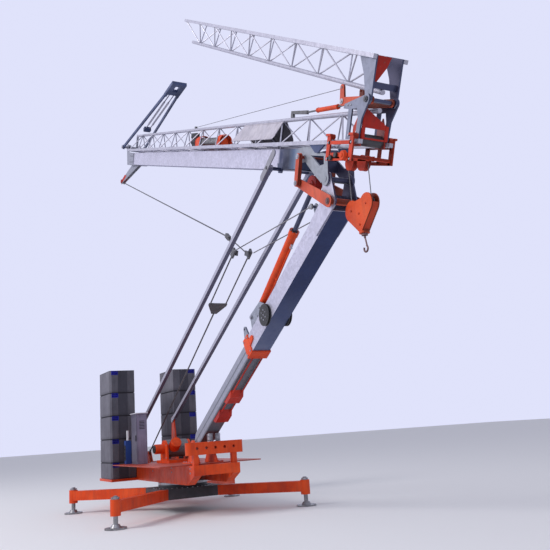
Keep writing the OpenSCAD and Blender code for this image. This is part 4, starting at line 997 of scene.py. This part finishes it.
knee = UPPER.inverted() @ KNEE
mesh = bmesh.new()
for side in (-1, 1):
    slab(mesh, UPPER, capsule((TOGGLE_X, TOGGLE_Z), (knee.x, knee.z), 0.054),
        *span(side, 0.299, 0.338))
add("toggle_boxes", mesh, FADED, "toggle_links")

# Rod sleeves and shackle inside the jib strut

mesh = bmesh.new()
for y in (-0.055, 0.055):
    sleeve = toward(JIB_STRUT @ Vector((1.75, y, 0)), AHEAD)
    prism(mesh, sleeve, 14, 0.026, 0.0, 1.35)
    for low in (-0.05, 1.35):
        prism(mesh, sleeve, 6, 0.024, low, low + 0.05)
add("jib_strut_sleeves", mesh, ZINC, "jib_strut")
mesh = bmesh.new()
box(mesh, JIB_STRUT, (1.324, -0.094, -0.054), (1.456, 0.094, 0.054), 0.006)
add("jib_strut_shackle", mesh, STRUT_BLUE, "jib_strut")

# Jib winch: hoods over both ends of its drum, and the motor's terminal box

HOOD_OUT, HOOD_IN = 0.138, 0.129
HOOD_STEPS = 16

mesh = bmesh.new()
outer, inner = (arc(0, WINCH_Z, r, 0, math.pi, HOOD_STEPS) for r in (HOOD_OUT, HOOD_IN))
for low, high in ((5.86, 6.08), (7.12, 7.32)):
    rings = [ring_at(mesh, JIB, [(x, y, z) for y, z in outer + inner[::-1]]) for x in (low, high)]
    walls(mesh, *rings)
    for ring in rings:
        for i in range(HOOD_STEPS):
            mesh.faces.new((ring[i], ring[i + 1], ring[-2 - i], ring[-1 - i]))
    for side in (-1, 1):
        near, far = span(side, HOOD_IN, HOOD_OUT)
        box(mesh, JIB, (low, near, -0.068), (high, far, WINCH_Z + 0.005))
bmesh.ops.recalc_face_normals(mesh, faces=mesh.faces)
add("jib_winch_hoods", mesh, ORANGE, "inner_jib")
mesh = bmesh.new()
box(mesh, JIB, (5.22, -0.040, 0.150), (5.60, 0.040, 0.275), 0.012)
add("jib_motor_box", mesh, MOTOR, "inner_jib")

# Guard at the inner jib's end, clear of the outer jib when that swings out, and a gusset between
# the outer jib's ears

GUARD = ((-0.216, -0.052, -0.165, 0.358), (0.165, -0.052, 0.216, 0.160),
    (-0.165, 0.105, 0.165, 0.130), (-0.165, -0.052, 0.165, -0.028))

mesh = bmesh.new()
for y0, z0, y1, z1 in GUARD:
    box(mesh, JIB, (12.766, y0, z0), (12.790, y1, z1), 0.003)
sheet(mesh, JIB, [(-0.166, 0.356), (-0.166, 0.128), (0.190, 0.128), (0.190, 0.158)], 12.772, 12.784)
add("jib_end_guard", mesh, RED, "inner_jib")
mesh = bmesh.new()
sheet(mesh, OUTER, [(-0.204, 0.150), (-0.204, 0.580), (0.040, 0.580), (0.000, 0.440), (-0.120, 0.230)],
    -0.062, -0.050)
add("outer_ear_gusset", mesh, RED, "outer_jib")

# Wedges under both chords, and the housing and rollers on the trolley's near side

WEDGE = [(11.42, -0.115), (11.62, -0.240), (11.70, -0.240), (11.86, -0.135), (11.86, -0.115)]

mesh = bmesh.new()
for side in (-1, 1):
    slab(mesh, JIB, WEDGE, *span(side, 0.234, 0.262))
add("chord_wedges", mesh, STRUT_BLUE, "inner_jib")
mesh = bmesh.new()
housing = sideways(JIB, 12.60, -0.344, -0.290, -1)
prism(mesh, housing, 28, 0.074, 0.0, 0.040, 0.062)
prism(mesh, housing, 16, 0.034, 0.039, 0.055, 0.028)
add("trolley_housing", mesh, ORANGE, "inner_jib")
mesh = bmesh.new()
for x, z in ((12.40, -0.285), (12.27, -0.325)):
    prism(mesh, sideways(JIB, x, -0.344, z, -1), 20, 0.036, 0.0, 0.036)
add("trolley_side_rollers", mesh, BLACK, "inner_jib")

# Trolley frame, more open and shorter at its foot than its CAD node, as in the photo, with full
# covers over both sheaves

POSTS = (12.142, 12.750)
POST_FOOT = -0.362

trolley = bmesh.new()
for side in (-1, 1):
    near, far = span(side, 0.320, 0.345)
    cap_near, cap_far = span(side, 0.320, 0.365)
    for x in POSTS:
        box(trolley, JIB, (x - 0.045, near, POST_FOOT), (x + 0.045, far, -0.014))
        box(trolley, JIB, (x - 0.060, cap_near, -0.015), (x + 0.060, cap_far, 0.015))
        prism(trolley, sideways(JIB, x, side * 0.258, -0.0197, side), 32, 0.040, 0.0, 0.063)
    box(trolley, JIB, (POSTS[0], near, -0.135), (POSTS[1], far, -0.085))
    box(trolley, JIB, (POSTS[0], near, POST_FOOT), (POSTS[1], far, POST_FOOT + 0.052))
    if side < 0:
        box(trolley, JIB, (12.215, near, POST_FOOT + 0.030), (12.680, far, POST_FOOT + 0.110))
    else:
        box(trolley, JIB, (12.420, near, POST_FOOT + 0.030), (12.490, far, -0.100))
    near, far = span(side, 0.028, 0.044)
    for way in (-1, 1):
        slab(trolley, JIB, circle(SHEAVES_X + way * 0.160, -0.360, 0.112, 40), near, far)
    box(trolley, JIB, (POSTS[0] - 0.030, near, -0.335), (POSTS[1] + 0.030, far, -0.265))
for x in POSTS:
    prism(trolley, sideways(JIB, x, -0.321, -0.300, 1), 24, 0.025, 0.0, 0.642)
trolley_piece = add("trolley_open_frame", trolley, TROLLEY, "inner_jib")
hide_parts("trolley_frame")

# Blue floors and lifting bars in the ballast pockets, open to the back and to the front

mesh = bmesh.new()
for side in (-1, 1):
    near, far = span(side, 0.949, 1.101)
    for course in range(5):
        top = COURSE_FOOT + COURSE_PITCH * course
        for face, way in ((-2.0, -1), (-3.15, 1)):
            low, high = sorted((face + way * 0.040, face + way * 0.044))
            box(mesh, WORLD, (low, near, top - 0.101), (high, far, top - 0.009))
            bar = sideways(WORLD, face + way * 0.018, side * 0.950, top - 0.055, side)
            prism(mesh, bar, 12, 0.013, 0.0, 0.150)
add("pocket_floors", mesh, NAVY, "platform")

# Jack heads and lock nuts

mesh = bmesh.new()
for x in (-2.05, 2.05):
    for y in (-2.05, 2.05):
        at = Matrix.Translation((x, y, 0))
        prism(mesh, at, 6, 0.085, 0.560, 0.5799)
        prism(mesh, at, 6, 0.030, 0.599, 0.606)
        for dx, dy in circle(0, 0, 0.165, 6):
            bolt(mesh, Vector((x + dx, y + dy, 0.03)), UP, 0.012)
add("jack_fittings", mesh, BRIGHT, "undercarriage")

# Floor, light and world

floor = bmesh.new()
bmesh.ops.create_grid(floor, x_segments=1, y_segments=1, size=150)
floor_piece = make("floor", floor, Nodes("pale_floor").finish((0.80, 0.80, 0.83), 0.9))
floor_piece.location.z = cad_low.z - 0.002

SKY = (0.745, 0.765, 0.965, 1)
DIFFUSE_SKY = (0.50, 0.51, 0.58, 1)

world = bpy.data.worlds.new("sky")
world.use_nodes = True
tree = world.node_tree
background = tree.nodes["Background"]
rays = tree.nodes.new("ShaderNodeLightPath")
seen = rays.outputs["Is Camera Ray"]
for kind in ("Is Glossy Ray", "Is Transmission Ray"):
    either = tree.nodes.new("ShaderNodeMath")
    either.operation = "MAXIMUM"
    tree.links.new(seen, either.inputs[0])
    tree.links.new(rays.outputs[kind], either.inputs[1])
    seen = either.outputs[0]
tone = tree.nodes.new("ShaderNodeMix")
tone.data_type = "RGBA"
tree.links.new(seen, tone.inputs[0])
tone.inputs[6].default_value = DIFFUSE_SKY
tone.inputs[7].default_value = SKY
tree.links.new(tone.outputs[2], background.inputs[0])
background.inputs[1].default_value = 1.0
scene.world = world
scene.view_settings.view_transform = "Standard"


def lamp(name, place, power, colour):
    """A square lamp that looks at the crane's middle."""
    data = bpy.data.lights.new(name, "AREA")
    data.energy = power
    data.size = 10
    data.color = colour
    piece = bpy.data.objects.new(name, data)
    direction = Vector((2, 0, 5)) - Vector(place)
    turn = direction.to_track_quat("-Z", "Y").to_matrix().to_4x4()
    piece.matrix_world = Matrix.Translation(place) @ turn
    scene.collection.objects.link(piece)


lamp("key", (-2, -24, 18), 4200, (1, 0.97, 0.95))
lamp("fill", (16, -8, 14), 500, (0.92, 0.94, 1))
